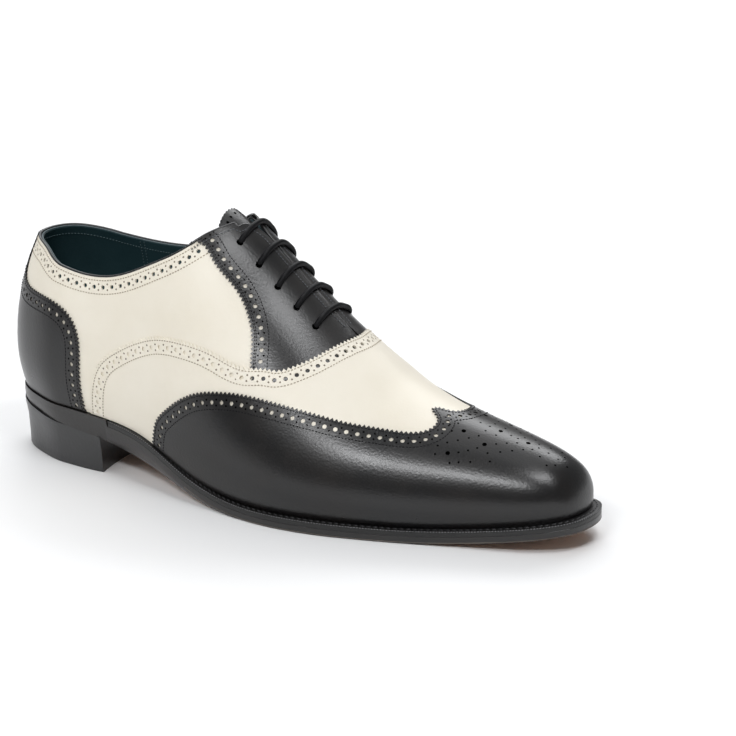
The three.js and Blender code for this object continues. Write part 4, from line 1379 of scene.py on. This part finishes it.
@dataclass
class UpperAssembly:
    """Quarters, vamp, wing cap, counter, facings, tongue, lining and collar edge."""

    last: Last
    trees: DetailTrees
    finishes: Finishes
    wall: float = 2.2
    lining_top: float = -1.0
    counter_top: float = 0.8
    facing_top: float = 0.7
    vamp_top: float = 0.55
    vamp_over_facing: float = 1.3
    wing_top: float = 1.35
    tooth_pitch: float = 2.05
    tooth_depth: float = 1.3
    under: float = 0.02
    row_step: float = 0.6
    clear_of_rim: float = 0.004
    band: Band = field(default_factory=Band)
    toe: ToeChart = field(init=False)
    heel: HeelChart = field(init=False)

    def __post_init__(self) -> None:
        """Makes the charts and the lists that gather rows and pins."""
        self.toe = ToeChart(self.last)
        self.heel = HeelChart(self.last)
        self.rows: dict[str, list[Array]] = {"black": [], "grey": [], "cream": [], "lining": []}
        self.pins: dict[str, list[tuple[Array, Array]]] = {"black": [], "cream": []}

    def half_edge(self, rows: dict[str, Array]) -> list[tuple[float, float]]:
        """An edge table as coordinates of the toe chart, on the outer side."""
        place = self.last.place_of(rows["at"])
        return [(float(u), float(up) - 2) for u, up in zip(place, rows["up"])]

    def leather(self, panel: Panel, name: str, finish: Finish, replaces: tuple[str, ...]) -> None:
        """Builds a panel and gives it its finish, which is also its slot."""
        finish_piece(self.finishes.paint(panel.build(name), finish), replaces)

    def below(self, teeth: Array, front: float, counts: tuple[int, int]) -> Array:
        """A panel's outline over the ridge: a cut edge, and the way back along both lower edges.

        Args:
            teeth: the cut edge, from the outer lower edge to the inner one.
            front: the place at which the panel ends.
            counts: points along a lower edge and across the front.

        Returns:
            The closed outline in the toe chart.
        """
        steps = np.linspace(float(teeth[0, 0]), front, counts[0])[1:]
        across = np.linspace(2, -2, counts[1])[1:-1]
        return np.concatenate([teeth, pairs(steps, 2.0), pairs(front, across), pairs(steps[::-1], -2.0)])

    def sew(self, color: str, path: SurfacePath, offset: float) -> None:
        """Keeps a line for stitches, as far as it stays on the leather."""
        row = path.spaced(self.row_step)
        place, side, up = path.chart.ribs(row.uv[:, 0], row.uv[:, 1])
        on_leather = up < self.last.trim(place, side) - self.clear_of_rim
        row = SurfacePath(path.chart, row.uv[on_leather])
        if len(row.uv) > 2:
            self.rows[color].append(row.space(offset))

    def pin(self, color: str, path: SurfacePath, offset: float) -> None:
        """Keeps the points of a path for small punched holes."""
        self.pins[color].append((path.space(offset), path.chart.normal(path.uv[:, 0], path.uv[:, 1])))

    def dress_band(
        self, panel: Panel, edge: SurfacePath, color: str, top: float, extra: float | None = None
    ) -> None:
        """Punches and sews a broguing band along an edge.

        Args:
            panel: the panel that the holes go through.
            edge: its cut edge.
            color: colour of thread and small holes.
            top: height of the panel's face.
            extra: distance from the edge of one more row of stitches.
        """
        band = self.band
        panel.punch(band.centres(edge), band.hole_radius)
        for row in band.pins(edge):
            self.pin(color, row, top + MARK_LIFT)
        for distance in (band.first_row, band.second_row, extra):
            if distance is not None:
                self.sew(color, edge.shifted(distance), top + THREAD_LIFT)

    def rim_line(self, at_front: float, step: float = 1.0) -> Array:
        """Chart coordinates of the collar line, from the inner front round the heel to the outer front."""
        reach = float(self.heel.u_of(at_front))
        samples = 700
        u = np.linspace(reach, -reach, samples)
        place = self.last.sizes.back_seam - np.abs(u)
        v = self.last.trim(place, np.where(u < 0, -1.0, 1.0))
        return SurfacePath(self.heel, pairs(u, v)).spaced(step).uv

    def build(self) -> None:
        """Builds every piece of the upper."""
        self.build_lining()
        self.build_quarters()
        self.build_counter()
        self.build_facings()
        self.build_vamp()
        self.build_wing_cap()
        self.build_tongue()
        self.build_collar_edge()
        self.build_threads()

    def build_lining(self) -> None:
        """The inner layer: one closed shell round the whole foot."""
        last = self.last
        fine = np.linspace(0, last.sizes.back_seam, 150)
        points: list[Array] = []
        faces: list[tuple[int, ...]] = []
        low_rows = 5
        rows = 26
        for side in Side:
            tops = [float(last.trim(place, side.value)) for place in fine]
            low = np.linspace(0, 1, low_rows + 1)[:-1]
            up = np.array([np.concatenate([low, np.linspace(1, top, rows - low_rows)]) for top in tops])
            place = np.repeat(fine[:, None], rows, axis=1)
            v = (up - 2) if side is Side.OUTER else (2 - up)
            depths = (self.lining_top, -self.wall)
            layers = [self.toe.point(place, v, np.full(place.shape, depth)) for depth in depths]
            start = sum(len(p) for p in points)
            points += [layer.reshape(-1, 3) for layer in layers]
            count = place.size
            index = np.arange(count).reshape(place.shape) + start
            flip = side is Side.INNER
            open_top = up[:, -1] < 2

            def add(quad: tuple[int, ...]) -> None:
                faces.append(quad[::-1] if flip else quad)

            for i in range(len(fine) - 1):
                for j in range(rows - 1):
                    a, b, c, d = index[i, j], index[i, j + 1], index[i + 1, j + 1], index[i + 1, j]
                    add((a, b, c, d))
                    add((a + count, d + count, c + count, b + count))
                a, b = index[i, 0], index[i + 1, 0]
                add((a, b, b + count, a + count))
                if open_top[i] or open_top[i + 1]:
                    a, b = index[i, -1], index[i + 1, -1]
                    add((b, a, a + count, b + count))
        piece = link(mesh_of("lining", np.concatenate(points), faces), "lining")
        finish_piece(self.finishes.paint(piece, Finishes.LINING))
        self.sew_lining()

    def sew_lining(self) -> None:
        """The lining's double seam beside the heel, and the row under its upper edge."""
        seam_at = 0.045
        half_gap = 0.0022
        depth = -self.wall - THREAD_LIFT
        top = float(self.last.trim(self.last.place_of(seam_at), 1))
        rise = np.linspace(1.02, top - 0.01, 40)
        for shift in (-half_gap, half_gap):
            u = np.full(len(rise), float(self.heel.u_of(seam_at)) + shift)
            self.rows["lining"].append(self.heel.point(u, rise, np.full(len(rise), depth)))
        rim = SurfacePath(self.heel, self.rim_line(0.30))
        self.rows["lining"].append(rim.shifted(4.0).space(depth))

    def build_quarters(self) -> None:
        """The cream leather from the heel to the throat."""
        front = 0.545
        rim = self.rim_line(front, 1.1)
        reach = float(self.heel.u_of(front))
        bottom = pairs(np.linspace(-reach, reach, 300), 0.0)
        rise = np.linspace(0, rim[-1, 1], 14)[1:-1]
        outline = np.concatenate([rim, pairs(-reach, rise[::-1]), bottom, pairs(reach, rise)])
        low = level(self.lining_top + self.under)
        panel = Panel(self.heel, outline, low, level(0.0), (0.006, 0.07))
        edge = SurfacePath(self.heel, self.rim_line(0.285))
        self.dress_band(panel, edge, "cream", 0.0)
        self.leather(panel, "quarters", Finishes.CREAM, ("upper",))

    def counter_edge(self) -> SurfacePath:
        """The counter's edge, from the inner lower edge over the backstay to the outer one."""
        top = float(self.last.trim(self.last.sizes.back_seam, -1))
        u = self.heel.u_of(COUNTER_EDGE["at"])
        side = [(float(a), float(b)) for a, b in zip(u, COUNTER_EDGE["up"])]
        side += [(0.034, 1.335), (0.0225, 1.40), (0.021, (1.4 + top) / 2), (0.0225, top - 0.001)]
        inner = SurfacePath.through(self.heel, side)
        outer = SurfacePath.through(self.heel, [(-a, b) for a, b in reversed(side)])
        return SurfacePath(self.heel, np.concatenate([inner.uv, outer.uv]))

    def build_counter(self) -> None:
        """The black heel counter and its backstay."""
        edge = self.counter_edge()
        paths = [SurfacePath(self.heel, uv) for uv in np.split(edge.uv, 2)]
        teeth = [path.pinked(self.tooth_pitch, self.tooth_depth) for path in paths]
        reach = float(teeth[0][0, 0])
        outline = np.concatenate([*teeth, pairs(np.linspace(-reach, reach, 110)[1:-1], 0.0)])
        panel = Panel(self.heel, outline, level(self.under), level(self.counter_top), (0.005, 0.06))
        for path in paths:
            self.dress_band(panel, self.body_of_counter(path), "black", self.counter_top)
        self.leather(panel, "heel_counter_leather", Finishes.BLACK, ("heel_counter",))

    @staticmethod
    def body_of_counter(path: SurfacePath) -> SurfacePath:
        """The part of the counter's edge that runs beside the counter itself, not its backstay."""
        backstay = 0.036
        return SurfacePath(path.chart, path.uv[np.abs(path.uv[:, 0]) > backstay])

    def facing_rear(self) -> SurfacePath:
        """Rear edge of the outer facing, from under the vamp to the collar."""
        points = self.half_edge(FACING_EDGE)
        end_at = 0.274
        place = float(self.last.place_of(end_at))
        points.append((place, float(self.last.trim(place, -1)) - 2))
        return SurfacePath.through(self.toe, points)

    def build_facings(self) -> None:
        """The two black eyelet panels."""
        rear = self.facing_rear()
        last = self.last
        start = float(rear.uv[-1, 0])
        end = float(last.place_of(last.sizes.throat_end))
        place = np.linspace(start, end, 500)
        rim = SurfacePath(self.toe, pairs(place, last.trim(place, -1) - 2)).spaced(0.8)
        hidden = [(0.5535, -0.01), (0.556, -0.25), (0.533, -0.44), (0.505, -0.51), (0.468, -0.575)]
        hidden_uv = np.array([(float(last.place_of(at)), v) for at, v in hidden])
        for side in Side:
            inward = -side.value
            name = f"facing_{side.name.lower()}"
            path = rear if side is Side.OUTER else rear.mirrored()
            teeth = path.pinked(self.tooth_pitch, self.tooth_depth)
            flip = np.array([1, inward])
            front = np.concatenate([rim.uv[1:], hidden_uv]) * flip
            outline = np.concatenate([teeth[::inward], front])
            panel = Panel(self.toe, outline, level(self.under), level(self.facing_top), (0.005, 0.035))
            trimmed = SurfacePath(self.toe, path.uv[12:-6])
            self.dress_band(panel, trimmed, "black", self.facing_top, 2.45)
            self.leather(panel, f"{name}_leather", Finishes.BLACK, (name,))
            slit = SurfacePath(self.toe, rim.uv * flip)
            # The slit row's thread is painted grey as its sheen.
            self.sew("grey", slit.shifted(2.6 * inward), self.facing_top + THREAD_LIFT)
            up = -inward * slit.inward()
            line = slit.space(self.facing_top / 2) + up * 0.1
            roll = tube(f"{name}_roll", line, oval(self.facing_top + 0.25, 1.1), up)
            finish_piece(self.finishes.paint(roll, Finishes.BLACK), sharp=60)

    def vamp_height(self, u: Array, v: Array) -> Array:
        """Face of the vamp: higher where it lies over the facings."""
        at = self.last.at_of(np.asarray(u))
        rear, front, fade = 0.36, 0.66, 0.06
        side, side_fade = 0.685, 0.075
        share = np.clip((at - rear) / fade, 0, 1) * np.clip((front - at) / fade, 0, 1)
        share = share * np.clip((side - np.abs(v)) / side_fade, 0, 1)
        return self.vamp_top + (self.vamp_over_facing - self.vamp_top) * share * share * (3 - 2 * share)

    def build_vamp(self) -> None:
        """The cream vamp, with its arch along the quarters and its band across the throat."""
        side = self.half_edge(VAMP_EDGE)
        peak = (float(self.last.place_of(0.5515)), 0.0)
        edge = SurfacePath.through(self.toe, [*side, peak, *((u, -v) for u, v in reversed(side))])
        teeth = edge.pinked(self.tooth_pitch, self.tooth_depth)
        outline = self.below(teeth, float(self.last.place_of(0.80)), (120, 62))
        panel = Panel(self.toe, outline, level(self.under / 2), self.vamp_height, (0.006, 0.05))
        band = self.band
        panel.punch(band.centres(edge), band.hole_radius)
        for row in band.pins(edge):
            u, v = row.uv.T
            points = self.toe.point(u, v, self.vamp_height(u, v) + MARK_LIFT)
            self.pins["cream"].append((points, self.toe.normal(u, v)))
        for distance in (band.first_row, band.second_row):
            u, v = edge.shifted(distance).spaced(self.row_step).uv.T
            self.rows["cream"].append(self.toe.point(u, v, self.vamp_height(u, v) + THREAD_LIFT))
        self.leather(panel, "vamp", Finishes.CREAM, ("upper",))

    def wing_edge(self) -> SurfacePath:
        """The wing cap's edge over both sides and the peak."""
        points = self.half_edge(WING_EDGE)
        middle = [(0.7225, -0.125), (0.728, -0.085), (0.7465, -0.05)]
        middle += [(0.758, 0.0), (0.762, 0.08), (0.757, 0.2)]
        between = [(float(self.last.place_of(at)), v) for at, v in middle]
        other = [(u, -v) for u, v in reversed(points[:-3])]
        return SurfacePath.through(self.toe, [*points, *between, *other])

    def build_wing_cap(self) -> None:
        """The black wing cap over the toe, with its bands along both sides and the medallion."""
        edge = self.wing_edge()
        teeth = edge.pinked(self.tooth_pitch, self.tooth_depth)
        outline = self.below(teeth, 0.0, (170, 14))
        panel = Panel(self.toe, outline, level(self.under), level(self.wing_top), (0.006, 0.05))
        self.dress_band(panel, edge, "black", self.wing_top)
        self.medallion()
        self.leather(panel, "wing_cap_leather", Finishes.BLACK, ("wing_cap",))

    def medallion(self) -> None:
        """Punched ornament on the toe, the same on both sides of its axis."""
        sizes = self.last.sizes
        toe_axis_y = -3.0
        for rows, radius, size in ((MEDALLION_LARGE, 1.05, "large"), (MEDALLION_SMALL, 0.5, "small")):
            spots = []
            for at, side in zip(rows["at"], rows["side"]):
                for sign in (-1, 1) if side else (1,):
                    x = sizes.heel_axis_x + at * sizes.toe_reach
                    spots.append((x, sign * side * sizes.ball_width + toe_axis_y))
            x, y = np.array(spots).T
            place = self.last.place_of((x - sizes.heel_axis_x) / sizes.toe_reach)
            v = self.toe.side_of(place, y, np.zeros(len(spots)), 0.2, 1)
            points = SurfacePath(self.toe, pairs(place, v)).space(self.wing_top + MARK_LIFT)
            normal = self.toe.normal(place, v)
            pit = self.finishes.get(Finishes.PIT)
            marks = mark_points(self.trees, f"medallion_{size}", points, normal, radius, 0.05, pit)
            finish_piece(marks)

    def build_tongue(self) -> None:
        """The black tongue under the facings, with a pinked top."""
        last = self.last
        front = float(last.place_of(0.565))
        top = float(last.place_of(0.3))
        width = 0.375
        crown = [(top - 0.012, -width), (top - 0.003, -width / 2), (top, 0)]
        crown += [(u, -v) for u, v in reversed(crown[:-1])]
        edge = SurfacePath.through(self.toe, crown)
        teeth = edge.pinked(2.4, 1.1)
        steps = np.linspace(top - 0.012, front, 60)[1:]
        across = np.linspace(width, -width, 16)[1:-1]
        sides = [pairs(steps, width), pairs(front, across), pairs(steps[::-1], -width)]
        outline = np.concatenate([teeth, *sides])
        low = -self.wall - 2.4
        high = -self.wall - 0.6
        panel = Panel(self.toe, outline, level(low), level(high), (0.006, 0.04))
        panel.punch(edge.shifted(3.6).spaced(4.2, 2, 2), 0.8)
        for distance in (1.8, 5.6):
            self.sew("black", edge.shifted(distance), high + THREAD_LIFT)
        self.leather(panel, "tongue_leather", Finishes.BLACK, ("tongue",))

    def build_collar_edge(self) -> None:
        """The folded black edge round the collar, and the lining's folded edge as a bead painted lighter
        than the lining, a painted highlight along the fold.
        """
        edges = (
            ("collar_binding", 0.526, -0.45, 0.15, oval(1.45, 1.15), Finishes.BINDING, "black_calf"),
            ("collar_piping", 0.27, -1.6, 0.25, oval(0.65, 0.65, 8), Finishes.LINING_FOLD_HIGHLIGHT, "lining"),
        )
        for name, front, offset, rise, section, finish, slot in edges:
            rim = SurfacePath(self.heel, self.rim_line(front, 1.2))
            up = -rim.inward()
            piece = tube(name, rim.space(offset) + up * rise, section, up)
            finish_piece(self.finishes.paint(piece, finish), sharp=60)

    def build_threads(self) -> None:
        """All fine stitches and small punched holes."""
        threads = {
            "black": (Finishes.BLACK_THREAD, "black_calf"),
            "grey": (Finishes.GREY_THREAD, "black_calf"),
            "cream": (Finishes.CREAM_THREAD, "cream_calf"),
            "lining": (Finishes.LINING_THREAD, "lining"),
        }
        for color, lines in self.rows.items():
            finish, slot = threads[color]
            name = f"stitches_{color}"
            piece = stitch_rows(self.trees, name, lines, FINE_STITCH, self.finishes.get(finish))
            finish_piece(piece, sharp=80)
        pits = {"black": (Finishes.PIT, "black_calf"), "cream": (Finishes.CREAM_PIT, "cream_calf")}
        for color, groups in self.pins.items():
            points = np.concatenate([group[0] for group in groups])
            facing = np.concatenate([group[1] for group in groups])
            finish, slot = pits[color]
            name = f"small_holes_{color}"
            radius = self.band.pin_radius
            piece = mark_points(self.trees, name, points, facing, radius, 0.03, self.finishes.get(finish))
            finish_piece(piece, sharp=80)


@dataclass
class SoleAssembly:
    """Welt, outsole and heel."""

    last: Last
    trees: DetailTrees
    finishes: Finishes
    lap: float = 4.5
    side_drop: float = 3.0
    bevel: float = 0.35
    heel_taper: float = 1.6
    breast_hollow: float = 3.5
    stations: int = 150
    rim_until: float = 0.83

    def loop(self) -> tuple[Array, Array]:
        """Places and sides of a closed plan loop, counter-clockwise from the tip."""
        sizes = self.last.sizes
        step = self.last.place_of(np.array([sizes.seat_end, sizes.seat_end - sizes.seat_step]))
        inner = np.sort(np.concatenate([np.linspace(0, sizes.back_seam, self.stations), step]))
        outer = inner[::-1][1:-1]
        return np.concatenate([inner, outer]), np.repeat([1.0, -1.0], [len(inner), len(outer)])

    def ring(self, place: Array, side: Array, margin: Array, height: Array) -> Array:
        """One ring of a plate: a margin outside the upper's lower edge, at a height."""
        points = self.last.foot_point(place, side, margin)
        points[..., 2] = height
        return points

    @staticmethod
    def there_and_back(places: Array, first: float) -> tuple[Array, Array]:
        """Places out and back again, out on the first side and back on the other."""
        place = np.concatenate([places, places[::-1][1:]])
        return place, np.repeat([first, -first], [len(places), len(places) - 1])

    def shoulder(self, place: Array) -> Array:
        """Height at which the sole's upright edge ends and its bevel starts."""
        least = 0.3
        return np.maximum(self.last.sole_top(place) - self.side_drop, self.last.underside(place) + least)

    def margins(self, place: Array, side: Array) -> tuple[Array, Array]:
        """Margins of the edge and of the bottom's rim."""
        edge = self.last.by_side(self.last.margin, side, place)
        return edge, edge - self.last.by_side(self.last.cut, side, place)

    def build(self) -> None:
        """Builds every piece under the upper."""
        self.build_outsole()
        self.build_sole_highlight()
        self.build_welt()
        self.build_heel()
        self.dress_insole()

    def build_outsole(self) -> None:
        """The leather outsole with its bevelled waist and toe spring."""
        place, side = self.loop()
        edge, rim = self.margins(place, side)
        chamfer = self.bevel * 0.2
        top = self.last.sole_top(place)
        under = self.last.underside(place)
        shoulder = self.shoulder(place)
        drop = shoulder - under
        rings = [
            self.ring(place, side, edge - chamfer, top),
            self.ring(place, side, edge, top - chamfer),
            self.ring(place, side, edge, shoulder + 0.1),
        ]
        roundness = 0.18
        for share in (0.25, 0.5, 0.75):
            swell = math.sin(share * math.pi) * roundness
            margin = edge + (rim - edge) * share + np.minimum(edge - rim, 3) * swell
            rings.append(self.ring(place, side, margin, shoulder - drop * share))
        heel_front, fade = 0.08, 0.03
        ahead = np.clip((self.last.at_of(place) - heel_front) / fade, 0, 1)
        rings.append(self.ring(place, side, rim - 0.1 * ahead, under + 0.06 * ahead))
        rings.append(self.ring(place, side, rim - 0.45 * ahead - 0.02, under))
        count = len(place)
        half = len(np.unique(place)) - 1
        points = np.concatenate(rings)
        faces = ring_faces(len(rings), count)
        base = (len(rings) - 1) * count
        for i in range(half):
            one, two = (count - i) % count, count - i - 1
            faces.append((i, i + 1, two, one))
            faces.append((base + one, base + two, base + i + 1, base + i))
        piece = link(mesh_of("outsole_leather", points, faces), "outsole_leather")
        self.finishes.paint(piece, Finishes.SOLE_EDGE, Finishes.SOLE_BOTTOM)
        down, least_area = -0.9, 2e-6
        for polygon in piece.data.polygons:
            if polygon.normal.z < down and polygon.area > least_area:
                polygon.material_index = 1
        finish_piece(piece, ("outsole",), 42)

    def build_sole_highlight(self) -> None:
        """A pale line along the sole's lower edge, a painted highlight on its bevel."""
        place, side = self.there_and_back(np.linspace(self.rim_until, 0, 170), -1.0)
        edge, _ = self.margins(place, side)
        line = self.ring(place, side, edge - 0.05, self.shoulder(place) + 0.3)
        # A thin pale tube that paints the bevel's highlight.
        rim = tube("sole_rim", line, oval(0.3, 0.42, 8), np.array([0.0, 0.0, 1.0]))
        finish_piece(self.finishes.paint(rim, Finishes.SOLE_RIM), sharp=60)

    def build_welt(self) -> None:
        """The stitched welt, with wheel marks along its edge, painted pale as their glint."""
        last = self.last
        end = float(last.place_of(last.sizes.seat_end + 0.6 / last.sizes.toe_reach))
        place, side = self.there_and_back(np.linspace(end, 0, 170), -1.0)
        edge, _ = self.margins(place, side)
        top = last.edge_height(place) - last.sizes.gap
        low = top - last.sizes.welt
        lap = np.full(len(place), -self.lap)
        profile = [
            (lap, low - 0.2),
            (edge - 0.05, low - 0.2),
            (edge, low + 0.1),
            (edge + 0.02, (low + top) / 2),
            (edge, top - 0.45),
            (edge - 0.15, top - 0.15),
            (edge - 0.5, top),
            (edge - 1.0, top - 0.04),
            (lap, top),
        ]
        rings = np.stack([self.ring(place, side, margin, height) for margin, height in profile], axis=1)
        size = rings.shape[:2]
        mesh = mesh_of("welt_leather", rings.reshape(-1, 3), ring_faces(*size) + end_faces(*size))
        turn_outward(mesh)
        piece = self.finishes.paint(link(mesh, "welt_leather"), Finishes.WELT)
        finish_piece(piece, ("welt",), 50)
        line = self.ring(place, side, edge - 1.9, top + 0.05)
        thread = self.finishes.get(Finishes.WELT_THREAD)
        piece = stitch_rows(self.trees, "welt_stitches", [line], WELT_STITCH, thread)
        finish_piece(piece, sharp=80)
        # Wheel marks as small beads; their pale colour is a painted glint.
        corner = self.ring(place, side, edge - 0.08, top - 0.2)
        wheel = Stitch(pitch=1.3, length=0.8, radius=0.22)
        mark = self.finishes.get(Finishes.WHEEL_GLINT)
        piece = stitch_rows(self.trees, "welt_wheel_marks", [corner], wheel, mark)
        finish_piece(piece, sharp=80)

    def build_heel(self) -> None:
        """The stacked heel, tapered to its tread, with a hollow breast."""
        last = self.last
        sizes = last.sizes
        corner = float(last.place_of((sizes.breast_x - sizes.heel_axis_x) / sizes.toe_reach))
        place, side = self.there_and_back(np.linspace(corner, sizes.back_seam, 60), 1.0)
        edge, rim = self.margins(place, side)

        def outline(inset: float, lift: float | None) -> Array:
            """One ring of the heel at a distance inside its top, on a plane or under the seat."""
            margin = np.where(inset < 0.05, edge - 0.05, rim - inset)
            line = last.foot_point(place, side, margin)
            share = np.linspace(0, 1, 22)[1:-1, None]
            breast = line[-1] * (1 - share) + line[0] * share
            breast[:, 0] -= self.breast_hollow * 4 * share[:, 0] * (1 - share[:, 0])
            around = np.concatenate([line, breast])
            around[:, 2] = last.seat_plane(around[:, 0]) - sizes.gap if lift is None else lift
            return around

        rings = [outline(0.02, None), outline(0, None)]
        rings[0][:, 2] += sizes.gap
        rings[1][:, 2] -= 0.8
        for share in (0.35, 0.7):
            ring = outline(self.heel_taper * share * 0.92 + 0.1, None)
            ring[:, 2] = ring[:, 2] * (1 - share)
            rings.append(ring)
        for more, height in ((-0.25, 0.7), (0, 0.12), (0.4, 0)):
            rings.append(outline(self.heel_taper + more, height))
        size = (len(rings), len(rings[0]))
        top, tread = end_faces(*size)
        faces = [top, *ring_faces(*size), tread]
        piece = link(mesh_of("heel_stack", np.concatenate(rings), faces), "heel_stack")
        self.finishes.paint(piece, Finishes.HEEL, Finishes.HEEL_TREAD)
        down = -0.95
        for polygon in piece.data.polygons:
            if polygon.normal.z < down and polygon.center.z < MM:
                polygon.material_index = 1
        finish_piece(piece, ("heel",), 42)

    def dress_insole(self) -> None:
        """Gives the insole its leather."""
        self.finishes.paint(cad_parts["insole"], Finishes.INSOLE)


@dataclass
class Lacing:
    """Five straight bars of waxed cord, each diving into its pair of blind holes."""

    last: Last
    trees: DetailTrees
    finishes: Finishes
    facing_top: float = 0.8
    width: float = 2.7
    span: float = 29.0
    centre: float = 3.1
    first_bar: float = 0.347
    last_bar: float = 0.499
    count: int = 5

    def build(self) -> None:
        """Builds the bars and the holes that they enter."""
        chart = ToeChart(self.last)
        holes = []
        facing = []
        for number, at in enumerate(np.linspace(self.first_bar, self.last_bar, self.count), start=1):
            place = float(self.last.place_of(at))
            reach = np.array([-1.0, -0.93, -0.8, -0.62, -0.4, -0.16, 0.16, 0.4, 0.62, 0.8, 0.93, 1.0])
            u = np.full(len(reach), place)
            wanted = self.centre + reach * self.span / 2
            v = chart.side_of(u, wanted, np.linspace(-0.25, 0.25, len(reach)), 0.1, 0.9)
            rest = self.facing_top + self.width * 0.36
            lift = np.array([-1.6, 0.9, rest + 0.15, rest, rest, rest + 0.05])
            knots = chart.point(u, v, np.concatenate([lift, lift[::-1]]))
            way = way_along(knots)
            steps = np.linspace(0, way[-1], 70)
            line = np.stack([Column(way, knots[:, k], False)(steps) for k in range(3)], axis=1)
            up = np.array([0.55, 0.0, 0.83])
            piece = tube(f"lace_run_{number}", line, oval(self.width, self.width, 14), up)
            self.finishes.paint(piece, Finishes.LACE)
            finish_piece(piece, (f"lace_bar_{number}",), 70)
            ends = (u[[0, -1]], v[[0, -1]])
            holes.append(chart.point(*ends, np.full(2, self.facing_top + MARK_LIFT)))
            facing.append(chart.normal(*ends))
        pit = self.finishes.get(Finishes.PIT)
        spots, normals = np.concatenate(holes), np.concatenate(facing)
        marks = mark_points(self.trees, "lace_holes", spots, normals, self.width * 0.62, 0.05, pit)
        finish_piece(marks, sharp=80)


@dataclass
class Studio:
    """Camera, floor and soft lights."""

    azimuth: float = 31.877
    elevation: float = 18.721
    distance: float = 1.498
    roll: float = 0.676
    focal_px: float = 3333.0
    centre_px: tuple[float, float] = (290.711, 388.671)
    frame_px: float = 736.0
    target: tuple[float, float, float] = (0.115, 0.0, 0.045)

    def build(self) -> None:
        """Makes the camera, the floor and the lights."""
        self.add_camera()
        self.add_floor()
        self.add_lights()

    def add_camera(self) -> None:
        """A long lens at the photograph's angle."""
        az, el = math.radians(self.azimuth), math.radians(self.elevation)
        back = Vector((math.sin(az) * math.cos(el), -math.cos(az) * math.cos(el), math.sin(el)))
        right = Vector((math.cos(az), math.sin(az), 0))
        up = back.cross(right)
        turn = math.radians(self.roll)
        rolled_right = right * math.cos(turn) - up * math.sin(turn)
        rolled_up = right * math.sin(turn) + up * math.cos(turn)
        data = bpy.data.cameras.new("camera")
        data.sensor_width = 36
        data.lens = self.focal_px / self.frame_px * 36
        data.shift_x = (self.frame_px / 2 - self.centre_px[0]) / self.frame_px
        data.shift_y = (self.centre_px[1] - self.frame_px / 2) / self.frame_px
        data.clip_end = 50
        camera = bpy.data.objects.new("camera", data)
        matrix = Matrix((rolled_right, rolled_up, back)).transposed().to_4x4()
        matrix.translation = Vector(self.target) + back * self.distance
        camera.matrix_world = matrix
        bpy.context.scene.collection.objects.link(camera)
        bpy.context.scene.camera = camera

    def add_floor(self) -> None:
        """A pale plain floor."""
        mesh = bpy.data.meshes.new("floor")
        size = 6.0
        corners = [(-size, -size, 0), (size, -size, 0), (size, size, 0), (-size, size, 0)]
        mesh.from_pydata(corners, [], [(0, 1, 2, 3)])
        floor = link(mesh, "floor")
        material = bpy.data.materials.new("pale_floor")
        material.use_nodes = True
        shader = material.node_tree.nodes["Principled BSDF"]
        shader.inputs["Base Color"].default_value = (0.9, 0.9, 0.9, 1)
        shader.inputs["Roughness"].default_value = 0.6
        shader.inputs["Specular IOR Level"].default_value = 0.2
        mesh.materials.append(material)

    def add_lights(self) -> None:
        """Large soft lamps and an even surround."""
        world = bpy.data.worlds.new("surround")
        world.use_nodes = True
        world.node_tree.nodes["Background"].inputs["Color"].default_value = (1, 1, 1, 1)
        world.node_tree.nodes["Background"].inputs["Strength"].default_value = 0.23
        bpy.context.scene.world = world
        bpy.context.scene.view_settings.view_transform = "Standard"
        shoe = (0.12, 0, 0.04)
        lamps = (
            ("cap", (0.28, -1.0, 1.0), (0.5, 0.12), 6.4, shoe),
            ("facing", (0.7, -0.26, 1.32), (0.55, 0.3), 6.0, shoe),
            ("left", (-0.45, -1.0, 0.95), (0.4, 0.2), 2.2, shoe),
            ("top", (0.1, 0.35, 1.5), (1.0, 1.0), 2.6, shoe),
            ("rear", (-0.8, 0.7, 0.9), (0.9, 0.9), 4.5, shoe),
            ("heel", (-1.1, -0.4, 0.45), (0.14, 0.4), 1.5, shoe),
            ("background", (-0.6, 2.3, 2.0), (2.4, 1.6), 60, (-0.6, 2.3, 0)),
        )
        for name, spot, size, power, target in lamps:
            data = bpy.data.lights.new(name, "AREA")
            data.shape = "RECTANGLE"
            data.size, data.size_y = size
            data.energy = power
            data.color = (0.975, 0.985, 1.0)
            lamp = bpy.data.objects.new(name, data)
            lamp.location = spot
            aim = Vector(target) - Vector(spot)
            lamp.rotation_euler = aim.to_track_quat("-Z", "Y").to_euler()
            bpy.context.scene.collection.objects.link(lamp)


def write_sizes() -> None:
    """Brings the view layer up to date.
    """
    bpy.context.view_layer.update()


def main() -> None:
    """Builds the shoe's pieces in order and sets the studio."""
    logging.basicConfig(level=logging.INFO, format="%(name)s %(message)s")
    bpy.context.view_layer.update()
    last = Last(LastSizes())
    trees = DetailTrees()
    finishes = Finishes()
    Studio().build()
    SoleAssembly(last, trees, finishes).build()
    UpperAssembly(last, trees, finishes).build()
    Lacing(last, trees, finishes).build()
    write_sizes()


if __name__ == "__main__":
    main()
